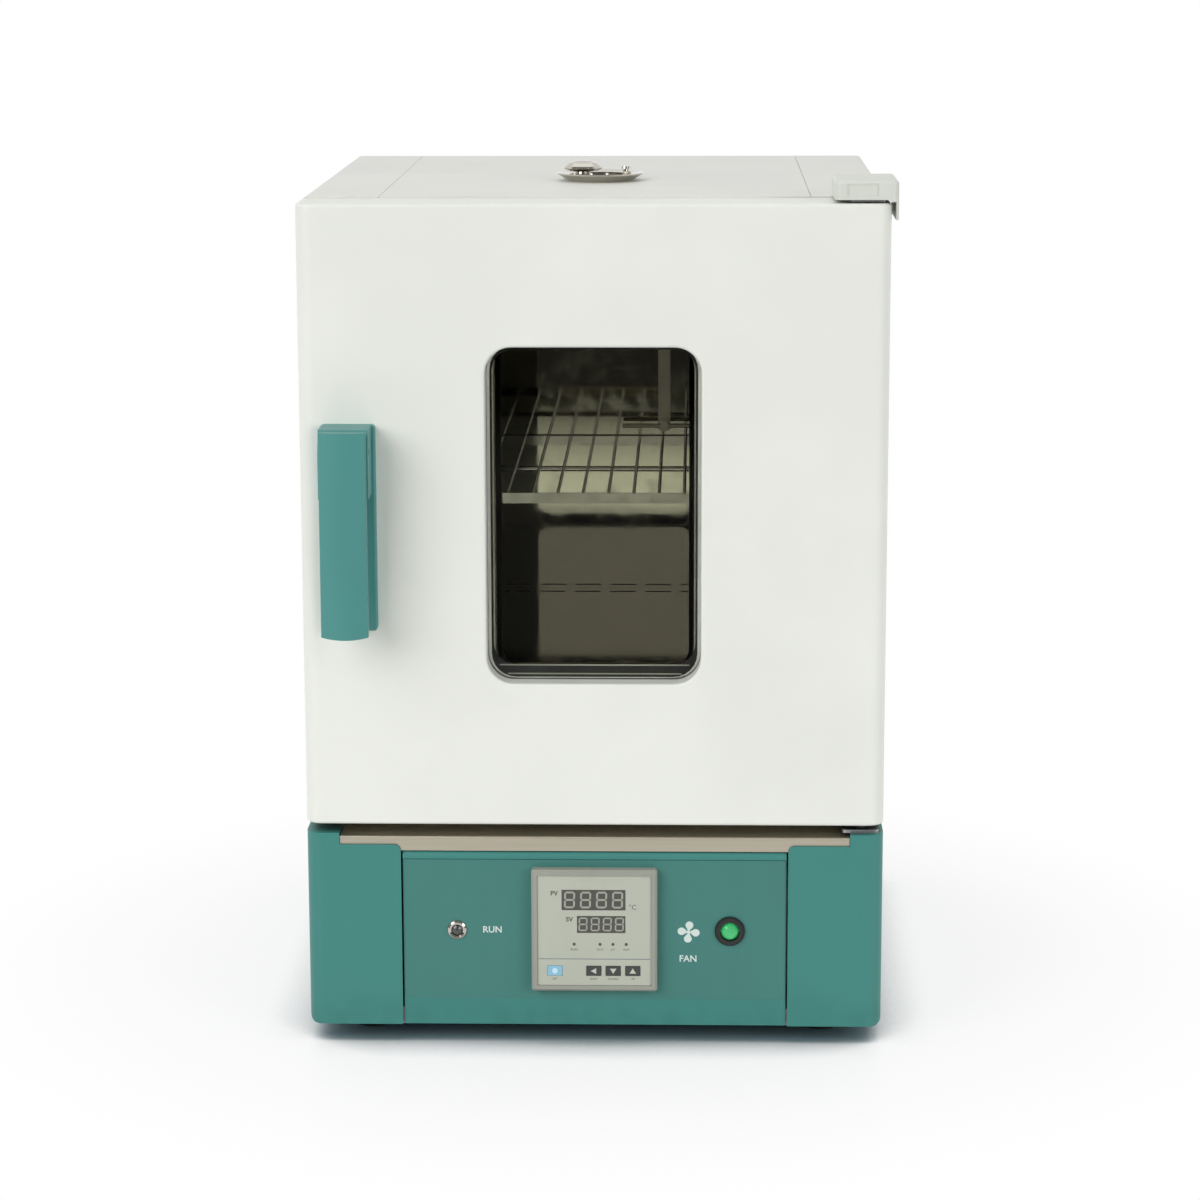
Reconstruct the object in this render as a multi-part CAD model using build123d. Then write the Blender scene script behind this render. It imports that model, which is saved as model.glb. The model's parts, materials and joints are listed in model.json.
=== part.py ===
"""Benchtop laboratory drying oven: glazed hinged door, steel chamber, control base.

Millimetres, +Z up. The front faces -Y and +X is to the right. Sizes are first written from
the middle of the cabinet at floor level, and every piece is moved once, at the end, so that
the origin lies under the middle of the whole oven's box.
"""
import os
from math import cos, hypot, radians, sin

from build123d import *

# Cabinet, base and feet
BODY_W = 440.0            # width of cabinet, door and base
BODY_D = 490.0            # door's front face to cabinet's back face
FOOT_H = 14.0             # floor to underside of base
BASE_H = 152.0            # height of the base's side walls
CABINET_H = 479.0         # base top to cabinet top
SHEET = 1.2               # outer sheet steel
BEND_R = 12.0             # soft vertical bends of door and base
EDGE_R = 4.0              # tighter bends of the cabinet's side panels
SLIP = 0.3                # gap beside a loose or sliding piece
RUN_FIT = 0.06            # radial gap of a pin in its bush

# Chamber
SIDE_WALL = 70.0          # cabinet's side face to the chamber
BACK_WALL = 134.0         # cabinet's back face to the chamber
ROOF_WALL = 45.0          # cabinet top to the chamber's ceiling
CHAMBER_LOW = 82.0        # base top to chamber floor
LINER = 1.0               # stainless liner sheet
FLOOR_RISE = 39.0         # chamber floor to the false floor that covers heaters and fan

# Door
DOOR_T = 50.0
SEAL_GAP = 6.0            # door's back to cabinet's front, taken up by the seal
DOOR_LIFT = 7.0           # door's underside above the base top
DOOR_DROP = 1.0           # door's top below the cabinet top
DOOR_OPEN = 95.0          # degrees
DOOR_FOLD = 2.5           # fold along the door's upper and lower front edges
RIM_GAP = 1.0             # door's rim, which hides the seal, to the cabinet's front
RIM_STOP = 12.0           # rim's end short of the hinge axis

# Window
WINDOW_W = 161.0
WINDOW_LOW = 110.0        # door's underside to the opening's lower edge
WINDOW_TOP = 106.0        # door's top to the opening's upper edge
WINDOW_R = 20.0
WINDOW_LIP = 2.2          # rolled front edge of the opening
REVEAL = 17.0             # depth of the painted reveal in front of the glass
GLASS_T = 4.0
INNER_NARROW = 18.0       # inner opening narrower and lower than the front one
INNER_LOW = 5.0
GLASS_LAP = 8.0           # glass beyond its opening, each side

# Hinges
HINGE_INSET = 17.5        # hinge axis inside the cabinet's side face
HINGE_IN = 18.0           # hinge axis behind the door's front face
PIN_R = 3.0
BUSH_R = 5.0
BUSH_L = 21.0
BRACKET_T = 2.5
BRACKET_W = 28.0
BRACKET_R = 3.0

# Base front
PILLAR_W = 72.3           # painted pillar each side of the control panel
PILLAR_DROP = 9.0         # pillar's shoulder below the base top
SHOULDER_W = 25.5         # part of the pillar that reaches the base top
PILLAR_R = 5.0
TRIM_LOW = 13.8           # trim's lower edge below the base top
TRIM_TOP = 2.4            # trim's upper face below the base top
TRIM_T = 1.0
TRIM_NOSE = 0.9           # radius of the bead along the trim's upper edge
BASE_CORNER_R = 6.5       # base's lower corners, seen from the front
PANEL_SET = 2.0           # control panel behind the pillars' faces
PANEL_GAP = 1.3           # shadow gap between panel and pillar
PANEL_R = 5.0
BAND_H = 6.2              # panel's upper band, which stands proud of the rest
BAND_PROUD = 1.2
OVERLAY_T = 0.4
OVERLAY_LOW = 21.0        # overlay's lower edge above the base's underside
OVERLAY_TOP = 7.0         # overlay's upper edge below the panel's top
OVERLAY_SIDE = 0.6

# Temperature controller
CTRL_SIZE = 96.0          # standard square instrument
CTRL_Z = 77.5             # instrument's middle above the base's underside
CTRL_PROUD = 9.0
CTRL_RIM = 4.5
CTRL_CUT = 92.0           # standard panel cut-out
CTRL_DEPTH = 78.0
FACE_SINK = 0.9
FACE_T = 1.6
KEY_W = 11.4
KEY_H = 7.8
KEY_TRAVEL = 0.5
KEY_Z = -31.8             # row of keys, from the instrument's middle
KEY_PROUD = 0.6

# Lamp and switch
LAMP_SIDE = 42.4          # run lamp's middle from the left pillar
SWITCH_SIDE = 44.2        # fan switch's middle from the right pillar
CONTROLS_RISE = 75.5      # their height above the base's underside
LAMP_R = 7.5
LAMP_BODY_R = 5.5
LENS_R = 4.5
SWITCH_R = 11.5
SWITCH_BODY_R = 10.0
ROCKER_R = 7.2
ROCKER_TILT = 7.0         # degrees either side of level

# Door handle
HANDLE_INSET = 36.8       # lever's middle inside the door's left side
HANDLE_LOW = 152.0        # door's underside to the handle's lower end
HANDLE_H = 156.0
HANDLE_W = 41.0
HANDLE_OFF = 0.7          # back plate's middle to the right of the lever's
HANDLE_PLATE_T = 7.0
HANDLE_HEAD_H = 51.0      # closed upper block that holds the lever
HANDLE_PROUD = 46.0
CHEEK_T = 3.5
CHEEK_W = 37.0            # over both cheeks of the upper block
HEAD_WALL = 3.0
HEAD_SLANT = 5.4          # upper block's front leans back above the pivot by this much
LEVER_W = 35.0
LEVER_END = 0.6           # lever's ends inside the handle's ends
LEVER_BOW = 2.0           # outward bow of the lever's lower end
LEVER_T = 8.0
LEVER_CROWN = 2.4         # bulge of the lever's front face
LEVER_WALL = 2.5
LEVER_GAP = 1.0           # lever's back to the cheeks' front
LEVER_SWING = 15.0        # degrees
PIVOT_DOWN = 17.0         # lever's pivot below the handle's top
PIVOT_IN = 19.0           # lever's pivot behind the lever's crown
PIVOT_R = 2.5
NOSE_UP = 9.0             # push nose above the pivot
NOSE_R = 3.0
PUSH_R = 3.0
PUSH_HEAD_R = 4.5

# Upper hinge cover
COVER_LEFT = 24.5         # cover's left edge, from the hinge axis
COVER_H = 15.5
COVER_FRONT = 4.0         # cover's front face behind the door's front face
COVER_D = 73.0
COVER_T = 2.0
COVER_LEG = 13.5          # side leg below the cabinet top
COVER_R = 5.0

# Vent on the cabinet top
VENT_Y = -30.0
VENT_R = 34.2
VENT_BASE_R = 25.7
VENT_H = 6.4
VENT_DISC_R = 24.2
VENT_DISC_T = 1.4
VENT_PIPE_R = 20.0
VENT_KNOB_X = 13.7
VENT_KNOB_R = 15.3
VENT_KNOB_TOP = 16.0      # knob's top above the cabinet
VENT_SCREW_R = 29.6
VENT_SCREW_AT = 48.0      # degrees from +X

# Wire shelf
SHELF_RISE = 127.0        # false floor to the shelf's wires
SHELF_PLAY = 5.0          # shelf's side to the chamber's side
SHELF_IN = 5.0            # shelf's front behind the cabinet's front
SHELF_BACK = 4.0          # shelf's back in front of the chamber's back
SHELF_STRIP_H = 8.0
SHELF_STRIP_T = 2.0
SHELF_ROD_R = 2.5
CROSS_THIN = 0.3          # by how much the cross rod's radius is smaller
WIRE_R = 1.3
WIRE_PITCH = 19.4
WELD = 0.8                # depth to which a wire sinks into what it is welded to
RAIL_LEVELS = 5
RAIL_PITCH = 50.0
RAIL_W = 10.0
RAIL_T = 1.5
POST_W = 18.0
POST_INSET = 45.0         # rack post from the rail's end

# Fan and heaters
FAN_ROOM = 22.0           # fan's edge to the heaters
FAN_BLADES = 12
FAN_BLADE_H = 14.0
FAN_LIFT = 9.0            # fan's back plate above the chamber floor
SHAFT_R = 4.0
MOTOR_R = 36.0
MOTOR_H = 46.0
HEATER_R = 4.0
HEATER_SIDE = 24.0        # outer run of each heater from the chamber's side
HEATER_BEND = 21.0
HEATER_RISE = 15.0
SLOT_L = 22.0
SLOT_W = 5.0
SLOT_PITCH = 30.0

# Places that follow from the sizes above
HALF_W = BODY_W / 2
Y_FRONT = -BODY_D / 2
Y_BACK = BODY_D / 2
Y_DOOR_BACK = Y_FRONT + DOOR_T
Y_CABINET = Y_DOOR_BACK + SEAL_GAP
CHAMBER_W = BODY_W - 2 * SIDE_WALL
CHAMBER_D = Y_BACK - BACK_WALL - Y_CABINET
CHAMBER_H = CABINET_H - CHAMBER_LOW - ROOF_WALL
Y_CHAMBER_BACK = Y_CABINET + CHAMBER_D
Y_CHAMBER_MID = (Y_CABINET + Y_CHAMBER_BACK) / 2
Z_BASE = FOOT_H
Z_DECK = Z_BASE + BASE_H
Z_TOP = Z_DECK + CABINET_H
Z_CHAMBER = Z_DECK + CHAMBER_LOW
Z_CEILING = Z_CHAMBER + CHAMBER_H
Z_FLOOR = Z_CHAMBER + FLOOR_RISE
Z_DOOR = (Z_DECK + DOOR_LIFT, Z_TOP - DOOR_DROP)
Z_WINDOW = (Z_DOOR[0] + WINDOW_LOW, Z_DOOR[1] - WINDOW_TOP)
Z_WINDOW_MID = sum(Z_WINDOW) / 2
HINGE_X = HALF_W - HINGE_INSET
HINGE_Y = Y_FRONT + HINGE_IN
HANDLE_X = HANDLE_INSET - HALF_W
PILLAR_X = HALF_W - PILLAR_W
LAMP_X = LAMP_SIDE - PILLAR_X
SWITCH_X = PILLAR_X - SWITCH_SIDE
CONTROL_Z = Z_BASE + CONTROLS_RISE
SHELF_W = CHAMBER_W - 2 * SHELF_PLAY
SHELF_D = CHAMBER_D - SHELF_IN - SHELF_BACK
HEATER_X = CHAMBER_W / 2 - HEATER_SIDE - 2 * HEATER_BEND
FAN_R = HEATER_X - HEATER_R - FAN_ROOM
CTRL_MID = Z_BASE + CTRL_Z
Z_HANDLE = (Z_DOOR[0] + HANDLE_LOW, Z_DOOR[0] + HANDLE_LOW + HANDLE_H)
Y_PANEL = Y_FRONT + PANEL_SET
Y_OVERLAY = Y_PANEL - OVERLAY_T

nodes = {}


def keep(name, *shapes):
    """Store one named piece, or a group of identical pieces, as separate solids."""
    solids = [solid for shape in shapes for solid in shape.solids()]
    nodes[name] = solids[0] if len(solids) == 1 else Compound(solids)


def block(x, y, z):
    """A box between three pairs of limits."""
    middle = Pos(sum(x) / 2, sum(y) / 2, sum(z) / 2)
    return middle * Box(x[1] - x[0], y[1] - y[0], z[1] - z[0])


def about(middle, width):
    """The pair of limits of a width centred on a middle."""
    return (middle - width / 2, middle + width / 2)


def grown(limits, by):
    return (limits[0] - by, limits[1] + by)


def polar(r, angle):
    return (r * cos(radians(angle)), r * sin(radians(angle)))


def rod_x(x, y, z, r):
    return Pos(sum(x) / 2, y, z) * Rot(Y=90) * Cylinder(r, x[1] - x[0])


def rod_y(x, y, z, r):
    return Pos(x, sum(y) / 2, z) * Rot(X=90) * Cylinder(r, y[1] - y[0])


def rod_z(x, y, z, r):
    return Pos(x, y, sum(z) / 2) * Cylinder(r, z[1] - z[0])


def tube_y(x, y, z, outer, bore):
    return rod_y(x, y, z, outer) - rod_y(x, y, z, bore)


def tube_z(x, y, z, outer, bore):
    return rod_z(x, y, z, outer) - rod_z(x, y, z, bore)


def slab_y(x, y, z, r):
    """A plate with rounded corners, seen from the front, between two depths."""
    face = Plane(origin=(sum(x) / 2, y[0], sum(z) / 2), x_dir=(1, 0, 0), z_dir=(0, 1, 0))
    return extrude(face * RectangleRounded(x[1] - x[0], z[1] - z[0], r), amount=y[1] - y[0])


def front_bends(solid, y, r):
    """Round the upright edges that lie on the plane y."""
    edges = solid.edges().filter_by(Axis.Z).filter_by(lambda e: abs(e.center().Y - y) < 0.01)
    return fillet(edges, r)


def turned(points, x, y, z):
    """A solid of revolution about an upright axis, from (radius, height) points."""
    outline = make_face(Polyline(*[(r, 0, h) for r, h in points], close=True))
    return Pos(x, y, z) * revolve(outline, Axis.Z)


def turned_y(points, x, y, z):
    """A solid of revolution about a front-to-back axis, heights measured towards +Y."""
    return Pos(x, y, z) * Rot(X=-90) * turned(points, 0, 0, 0)


def screw(head_r, head_h, shank_r, shank_l):
    """A pan head screw in a few flats, its head standing on z = 0 and its shank pointing down."""
    head = extrude(RegularPolygon(head_r, 12), amount=head_h)
    head = chamfer(head.faces().sort_by(Axis.Z)[-1].edges(), head_h * 0.4)
    return head + extrude(RegularPolygon(shank_r, 8), amount=-shank_l)


SCREW = dict(head_r=3.8, head_h=2.2, shank_r=2.0, shank_l=6.0)
SCREW_ROOM = 0.2          # gap round a screw in its hole


def screw_room(spec):
    """The hole that a screw's shank needs."""
    return Pos(0, 0, -spec["shank_l"] / 2) * Cylinder(spec["shank_r"] + SCREW_ROOM, spec["shank_l"] + 1)


def facing_back(x, y, z):
    """Where a screw sits with its head towards the back."""
    return Pos(x, y, z) * Rot(X=-90)


# Feet: moulded rubber with a sunk screw in each
FOOT_SIDE = 45.0          # foot's middle inside the base's side and ends
FOOT_END = 50.0
FOOT_X = HALF_W - FOOT_SIDE
FOOT_Y = BODY_D / 2 - FOOT_END
FOOT_R = (14.0, 17.0)
FOOT_WELL = (6.0, 8.0)
LONG_SCREW = dict(head_r=5.0, head_h=3.0, shank_r=2.5, shank_l=10.0)


def foot():
    low, high = FOOT_R
    well_r, well_h = FOOT_WELL
    hole = LONG_SCREW["shank_r"] + SCREW_ROOM
    outline = [(well_r, 0), (low, 0), (high, FOOT_H), (hole, FOOT_H), (hole, well_h), (well_r, well_h)]
    return turned(outline, 0, 0, 0)


foot_places = [Pos(sx * FOOT_X, sy * FOOT_Y, 0) for sx in (-1, 1) for sy in (-1, 1)]
foot_screw = Pos(0, 0, FOOT_WELL[1]) * Rot(X=180) * screw(**LONG_SCREW)
keep("rubber_feet", *[place * foot() for place in foot_places])
keep("foot_screws", *[place * foot_screw for place in foot_places])

# Base: bottom tray, two side cheeks that wrap round the front, deck and back panel
def low_corners(half, y, z, r):
    """A block whose two lower corners are rounded as seen from the front."""
    solid = block((-half, half), y, z)
    edges = solid.edges().filter_by(Axis.Y).group_by(Axis.Z)[0]
    return fillet(edges, r)


tray_x = HALF_W - SHEET
low_r = BASE_CORNER_R - SHEET
base_outside = front_bends(
    block((-HALF_W, HALF_W), (Y_FRONT, Y_BACK), (Z_BASE, Z_DECK)), Y_FRONT, BEND_R)
base_outside &= low_corners(HALF_W, (Y_FRONT - 1, Y_BACK + 1), (Z_BASE, Z_DECK + 1), BASE_CORNER_R)
base_inside = front_bends(
    block((-tray_x, tray_x), (Y_FRONT + SHEET, Y_BACK + SHEET), (Z_BASE - 1, Z_DECK + 1)),
    Y_FRONT + SHEET, BEND_R - SHEET)
base_inside &= low_corners(tray_x, (Y_FRONT, Y_BACK + 2), (Z_BASE - SHEET, Z_DECK + 2), low_r)
shoulder_x = HALF_W - SHOULDER_W


def base_cheek():
    """Right-hand cheek: side wall, bend, front pillar with its lower shoulder, top tab."""
    wall = (base_outside - base_inside) & block((PILLAR_X, HALF_W), (Y_FRONT, Y_BACK), (Z_BASE, Z_DECK))
    shoulder = block((PILLAR_X - 1, shoulder_x), (Y_FRONT - 1, Y_FRONT + SHEET + 1),
                     (Z_DECK - PILLAR_DROP, Z_DECK + 1))
    wall = wall - shoulder
    corner = wall.edges().filter_by(Axis.Y).sort_by_distance(
        Vector(PILLAR_X, Y_FRONT + SHEET / 2, Z_DECK - PILLAR_DROP))[0]
    wall = fillet(corner, PILLAR_R)
    tab = base_outside & block((shoulder_x, HALF_W), (Y_FRONT, Y_CABINET), (Z_DECK - SHEET, Z_DECK))
    return wall + tab


LOWER_SCREW_OUT = 5.0     # lower bracket's screws outside the hinge axis, and behind it
LOWER_SCREW_Y = (13.0, 26.0)
lower_screws = [Pos(HINGE_X + LOWER_SCREW_OUT, HINGE_Y + y, Z_DECK + BRACKET_T) for y in LOWER_SCREW_Y]
right_cheek = base_cheek()
left_cheek = mirror(right_cheek, Plane.YZ)
for place in lower_screws:
    right_cheek -= place * screw_room(SCREW)
keep("base_cheeks", left_cheek, right_cheek)

TRAY_H = 13.0
tray_y = (Y_PANEL + SHEET, Y_BACK - SHEET)
tray = block((-tray_x, tray_x), tray_y, (Z_BASE, Z_BASE + TRAY_H))
tray = front_bends(tray, tray_y[0], BEND_R - SHEET)
tray &= low_corners(tray_x, grown(tray_y, 1), (Z_BASE, Z_DECK), low_r)
tray_room = block((-tray_x + SHEET, tray_x - SHEET), (tray_y[0] + BEND_R, tray_y[1] - SHEET),
                  (Z_BASE + SHEET, Z_DECK))
tray_room += block((-tray_x + BEND_R, tray_x - BEND_R), (tray_y[0] + SHEET, tray_y[1] - SHEET),
                   (Z_BASE + SHEET, Z_DECK))
tray -= tray_room & low_corners(tray_x - SHEET, tray_y, (Z_BASE + SHEET, Z_DECK), low_r - SHEET)
for place in foot_places:
    tray -= place * rod_z(0, 0, (0, Z_DECK), LONG_SCREW["shank_r"] + SCREW_ROOM)
TRAY_SLOTS = 9
for row in (-1, 1):
    for i in range(TRAY_SLOTS):
        x = (i - (TRAY_SLOTS - 1) / 2) * SLOT_PITCH / 2
        slot = block(about(x, SLOT_W), about(Y_CHAMBER_MID + row * SLOT_PITCH, SLOT_L), (0, Z_DECK))
        tray -= slot

# The deck closes the base and carries the cabinet and the fan motor
FAN_Y = Y_CHAMBER_MID
deck = block((-tray_x, tray_x), (Y_CABINET, Y_BACK - SHEET), (Z_DECK - SHEET, Z_DECK))
deck += block((-tray_x, tray_x), (Y_BACK - 2 * SHEET, Y_BACK - SHEET), (Z_DECK - TRAY_H, Z_DECK))
deck -= rod_z(0, FAN_Y, (Z_DECK - 5, Z_DECK + 5), SHAFT_R + 4)
MOTOR_LUG_R = MOTOR_R + 6.0
motor_screws = [Pos(sx * MOTOR_LUG_R, FAN_Y, Z_DECK) for sx in (-1, 1)]
for place in motor_screws:
    deck -= place * screw_room(SCREW)

# Base back panel with its louvre slots, and the mains inlet
INLET_SIDE = 70.0         # inlet's middle inside the base's side and above its underside
INLET_RISE = 52.0
INLET_X = INLET_SIDE - HALF_W
INLET_Z = Z_BASE + INLET_RISE
INLET_W = (30.0, 50.0)
INLET_H = (22.0, 26.0)
INLET_DEEP = 24.0
INLET_RIM = 2.5
SOCKET_W = 24.4
SOCKET_H = 16.8
SOCKET_DEEP = 16.0
LOUVRES = 12
LOUVRES_LEFT = 20.0       # first louvre left of the middle
LOUVRE_H = 46.0
SCREW_INSET = 7.0

back_y = (Y_BACK - SHEET, Y_BACK)
base_back = low_corners(tray_x, back_y, (Z_BASE, Z_DECK - SLIP), low_r)
BASE_SCREW_SIDE = 30.0
base_screw_x = tray_x - BASE_SCREW_SIDE
base_screws = [facing_back(sx * base_screw_x, Y_BACK, z) for sx in (-1, 1)
               for z in (Z_BASE + SCREW_INSET, Z_DECK - SCREW_INSET)]
for place in base_screws:
    base_back -= place * screw_room(SCREW)
    tray -= place * screw_room(SCREW)
    deck -= place * screw_room(SCREW)
base_back -= block(about(INLET_X, INLET_W[0]), (0, Y_BACK + 1), about(INLET_Z, INLET_H[0]))
for i in range(LOUVRES):
    x = i * SLOT_PITCH / 2 - LOUVRES_LEFT
    base_back -= block(about(x, SLOT_W), (Y_BACK - 5, Y_BACK + 1), about(Z_BASE + BASE_H / 2, LOUVRE_H))
keep("base_tray", tray)
keep("base_deck", deck)
keep("base_back_panel", base_back)

inlet = block(about(INLET_X, INLET_W[0]), (Y_BACK - INLET_DEEP, Y_BACK), about(INLET_Z, INLET_H[0]))
inlet += slab_y(about(INLET_X, INLET_W[1]), (Y_BACK, Y_BACK + INLET_RIM), about(INLET_Z, INLET_H[1]), 4)
inlet -= block(about(INLET_X, SOCKET_W), (Y_BACK + INLET_RIM - SOCKET_DEEP, Y_BACK + 5),
               about(INLET_Z, SOCKET_H))
keep("mains_inlet", inlet)
BLADE = (2.0, 4.0)
BLADE_X = 7.0
blade_y = (Y_BACK + INLET_RIM - SOCKET_DEEP, Y_BACK - 1)
blades = [block(about(INLET_X + dx, BLADE[0]), blade_y, about(INLET_Z + dz, BLADE[1]))
          for dx, dz in ((-BLADE_X, 1.0), (0, 5.0), (BLADE_X, 1.0))]
keep("inlet_blades", *blades)

# Stainless trim between door and control panel
trim_x = shoulder_x - SLIP
y_trim = Y_FRONT + SHEET + 0.2
z_trim = (Z_DECK - TRIM_LOW, Z_DECK - TRIM_TOP)
trim = block((-trim_x, trim_x), (y_trim, Y_CABINET), z_trim)
trim -= block((-BODY_W, BODY_W), (y_trim + TRIM_T, Y_BACK), (0, z_trim[1] - TRIM_T))
trim += rod_x((-trim_x, trim_x), y_trim + TRIM_NOSE / 3, z_trim[1] - TRIM_NOSE, TRIM_NOSE)
trim += block((-trim_x, trim_x), (Y_CABINET - TRIM_T, Y_CABINET), (z_trim[0], Z_DECK))
keep("front_trim", trim)

# Control panel, its printed overlay and the openings in both
panel_x = PILLAR_X - PANEL_GAP
z_panel = (Z_BASE, z_trim[0])
PANEL_LIP = 13.0
y_band = Y_PANEL - BAND_PROUD
band = block((-panel_x, panel_x), (y_band, Y_PANEL + PANEL_LIP), (z_panel[1] - BAND_H, z_panel[1]))
band = fillet(band.edges().filter_by(Axis.X).sort_by_distance(Vector(0, y_band, z_panel[1]))[0], PANEL_R)
panel = block((-panel_x, panel_x), (Y_PANEL, Y_PANEL + PANEL_LIP), (z_panel[0], z_panel[1] - BAND_H)) + band
hollow = block((-BODY_W, BODY_W), (Y_PANEL + SHEET, Y_BACK), (0, z_panel[1] - SHEET))
panel -= fillet(hollow.edges().filter_by(Axis.X).sort_by_distance(
    Vector(0, Y_PANEL + SHEET, z_panel[1] - SHEET))[0], PANEL_R - SHEET)
overlay = block((-panel_x + OVERLAY_SIDE, panel_x - OVERLAY_SIDE), (Y_OVERLAY, Y_PANEL),
                (Z_BASE + OVERLAY_LOW, z_panel[1] - OVERLAY_TOP))
panel_cuts = [
    block(about(0, CTRL_CUT), (Y_FRONT - 5, Y_FRONT + 9), about(CTRL_MID, CTRL_CUT)),
    rod_y(LAMP_X, (Y_FRONT - 5, Y_FRONT + 9), CONTROL_Z, LAMP_BODY_R + SCREW_ROOM),
    rod_y(SWITCH_X, (Y_FRONT - 5, Y_FRONT + 9), CONTROL_Z, SWITCH_BODY_R + SCREW_ROOM),
]
for cut in panel_cuts:
    panel -= cut
    overlay -= cut
keep("control_panel", panel)
keep("panel_overlay", overlay)

# Temperature controller: case, bezel, face plate, displays, lamps and keys
y_bezel = (Y_OVERLAY - CTRL_PROUD, Y_OVERLAY)
y_face = (y_bezel[0] + FACE_SINK, y_bezel[0] + FACE_SINK + FACE_T)
face_w = CTRL_SIZE - 2 * CTRL_RIM
y_stage = y_face[1] + 0.9
bezel = slab_y(about(0, CTRL_SIZE), y_bezel, about(CTRL_MID, CTRL_SIZE), 2.0)
bezel = chamfer(bezel.faces().sort_by(Axis.Y)[0].edges(), 1.6)
bezel -= block(about(0, face_w), (y_bezel[0] - 1, y_bezel[1] + 1), about(CTRL_MID, face_w))
keep("controller_bezel", bezel)

case_w = CTRL_CUT - 2 * SLIP
case = block(about(0, case_w), (y_bezel[1], y_bezel[1] + CTRL_DEPTH), about(CTRL_MID, case_w))
case += block(about(0, face_w - SLIP), (y_stage, y_bezel[1]), about(CTRL_MID, face_w - SLIP))
VENT_GROOVES = 7
for side in (-1, 1):
    for i in range(VENT_GROOVES):
        y = y_bezel[1] + 24.0 + i * 7.0
        case -= block(about(side * case_w / 2, 3.0), about(y, 2.5), about(CTRL_MID, case_w * 0.7))
keep("controller_case", case)

UPPER_DISPLAY = dict(x=(-24.9, 23.9), z=(16.2, 32.4))
LOWER_DISPLAY = dict(x=(-13.2, 23.8), z=(-1.8, 11.8))
LAMP_ROW_X = (-15.4, 4.4, 14.3, 24.4)
LAMP_ROW_Z = -10.7
LAMP_DOT_R = 1.2
KEY_X = {"key_set": -30.2, "key_left": -0.4, "key_down": 14.4, "key_up": 29.4}
face = slab_y(about(0, face_w - SLIP), y_face, about(CTRL_MID, face_w - SLIP), 1.0)


def local(limits):
    return (CTRL_MID + limits[0], CTRL_MID + limits[1])


displays = []
for place in (UPPER_DISPLAY, LOWER_DISPLAY):
    face -= block(place["x"], grown(y_face, 1), local(place["z"]))
    displays.append(block(place["x"], (y_face[0] + 0.4, y_stage), local(place["z"])))
keep("controller_displays", *displays)
dots = []
for x in LAMP_ROW_X:
    z = CTRL_MID + LAMP_ROW_Z
    face -= rod_y(x, (y_face[0] - 1, y_face[1] + 1), z, LAMP_DOT_R + 0.05)
    dots.append(rod_y(x, (y_face[0], y_stage), z, LAMP_DOT_R))
keep("status_lamps", *dots)
KEY_ROOM = 0.15
for name, x in KEY_X.items():
    z = CTRL_MID + KEY_Z
    face -= block(about(x, KEY_W + 2 * KEY_ROOM), grown(y_face, 1), about(z, KEY_H + 2 * KEY_ROOM))
    y_key = (y_face[0] - KEY_PROUD, y_stage - KEY_TRAVEL - SLIP)
    cap = slab_y(about(x, KEY_W), y_key, about(z, KEY_H), 1.0)
    cap = chamfer(cap.faces().sort_by(Axis.Y)[0].edges(), 0.35)
    keep(name, cap)
keep("controller_face", face)

# Run lamp: chromed bezel and a domed lens
LAMP_FLANGE = 2.2
LAMP_DEEP = 22.0
LENS_RISE = 3.0
bezel_ring = turned_y([(LENS_R, -LAMP_FLANGE * 0.8), (LAMP_R - 1.6, -LAMP_FLANGE),
                       (LAMP_R - 0.4, -LAMP_FLANGE * 0.6), (LAMP_R, 0), (LAMP_BODY_R, 0),
                       (LAMP_BODY_R, LAMP_DEEP), (LENS_R, LAMP_DEEP)], LAMP_X, Y_OVERLAY, CONTROL_Z)
keep("run_lamp_bezel", bezel_ring)
lens_r = LENS_R - 0.05
lens = turned_y([(0, -LENS_RISE), (lens_r * 0.45, -LENS_RISE * 0.9), (lens_r * 0.82, -LENS_RISE * 0.55),
                 (lens_r, 0), (lens_r, LAMP_DEEP / 2), (0, LAMP_DEEP / 2)], LAMP_X, Y_OVERLAY, CONTROL_Z)
keep("run_lamp_lens", lens)

# Fan switch: round housing with a see-saw rocker on trunnions
SWITCH_FLANGE = 3.0
SWITCH_DEEP = 24.0
TRUNNION_R = 1.2
TRUNNION_L = 1.2
switch_pivot_y = Y_OVERLAY + 1.4
housing = turned_y([(ROCKER_R + SLIP, -SWITCH_FLANGE), (SWITCH_R - 1.2, -SWITCH_FLANGE),
                    (SWITCH_R, -SWITCH_FLANGE * 0.45), (SWITCH_R, 0), (SWITCH_BODY_R, 0),
                    (SWITCH_BODY_R, SWITCH_DEEP), (0, SWITCH_DEEP), (0, SWITCH_DEEP - 12),
                    (ROCKER_R + SLIP, SWITCH_DEEP - 12)], SWITCH_X, Y_OVERLAY, CONTROL_Z)
trunnion = (SWITCH_X - ROCKER_R - TRUNNION_L, SWITCH_X + ROCKER_R + TRUNNION_L)
housing -= rod_x(trunnion, switch_pivot_y, CONTROL_Z, TRUNNION_R + RUN_FIT)
TERMINALS = 3
for i in range(TERMINALS):
    z = CONTROL_Z + (i - 1) * 6.0
    y = Y_OVERLAY + SWITCH_DEEP
    housing += block(about(SWITCH_X, 6.3), (y, y + 8), about(z, 0.8))
keep("fan_switch_housing", housing)

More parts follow.
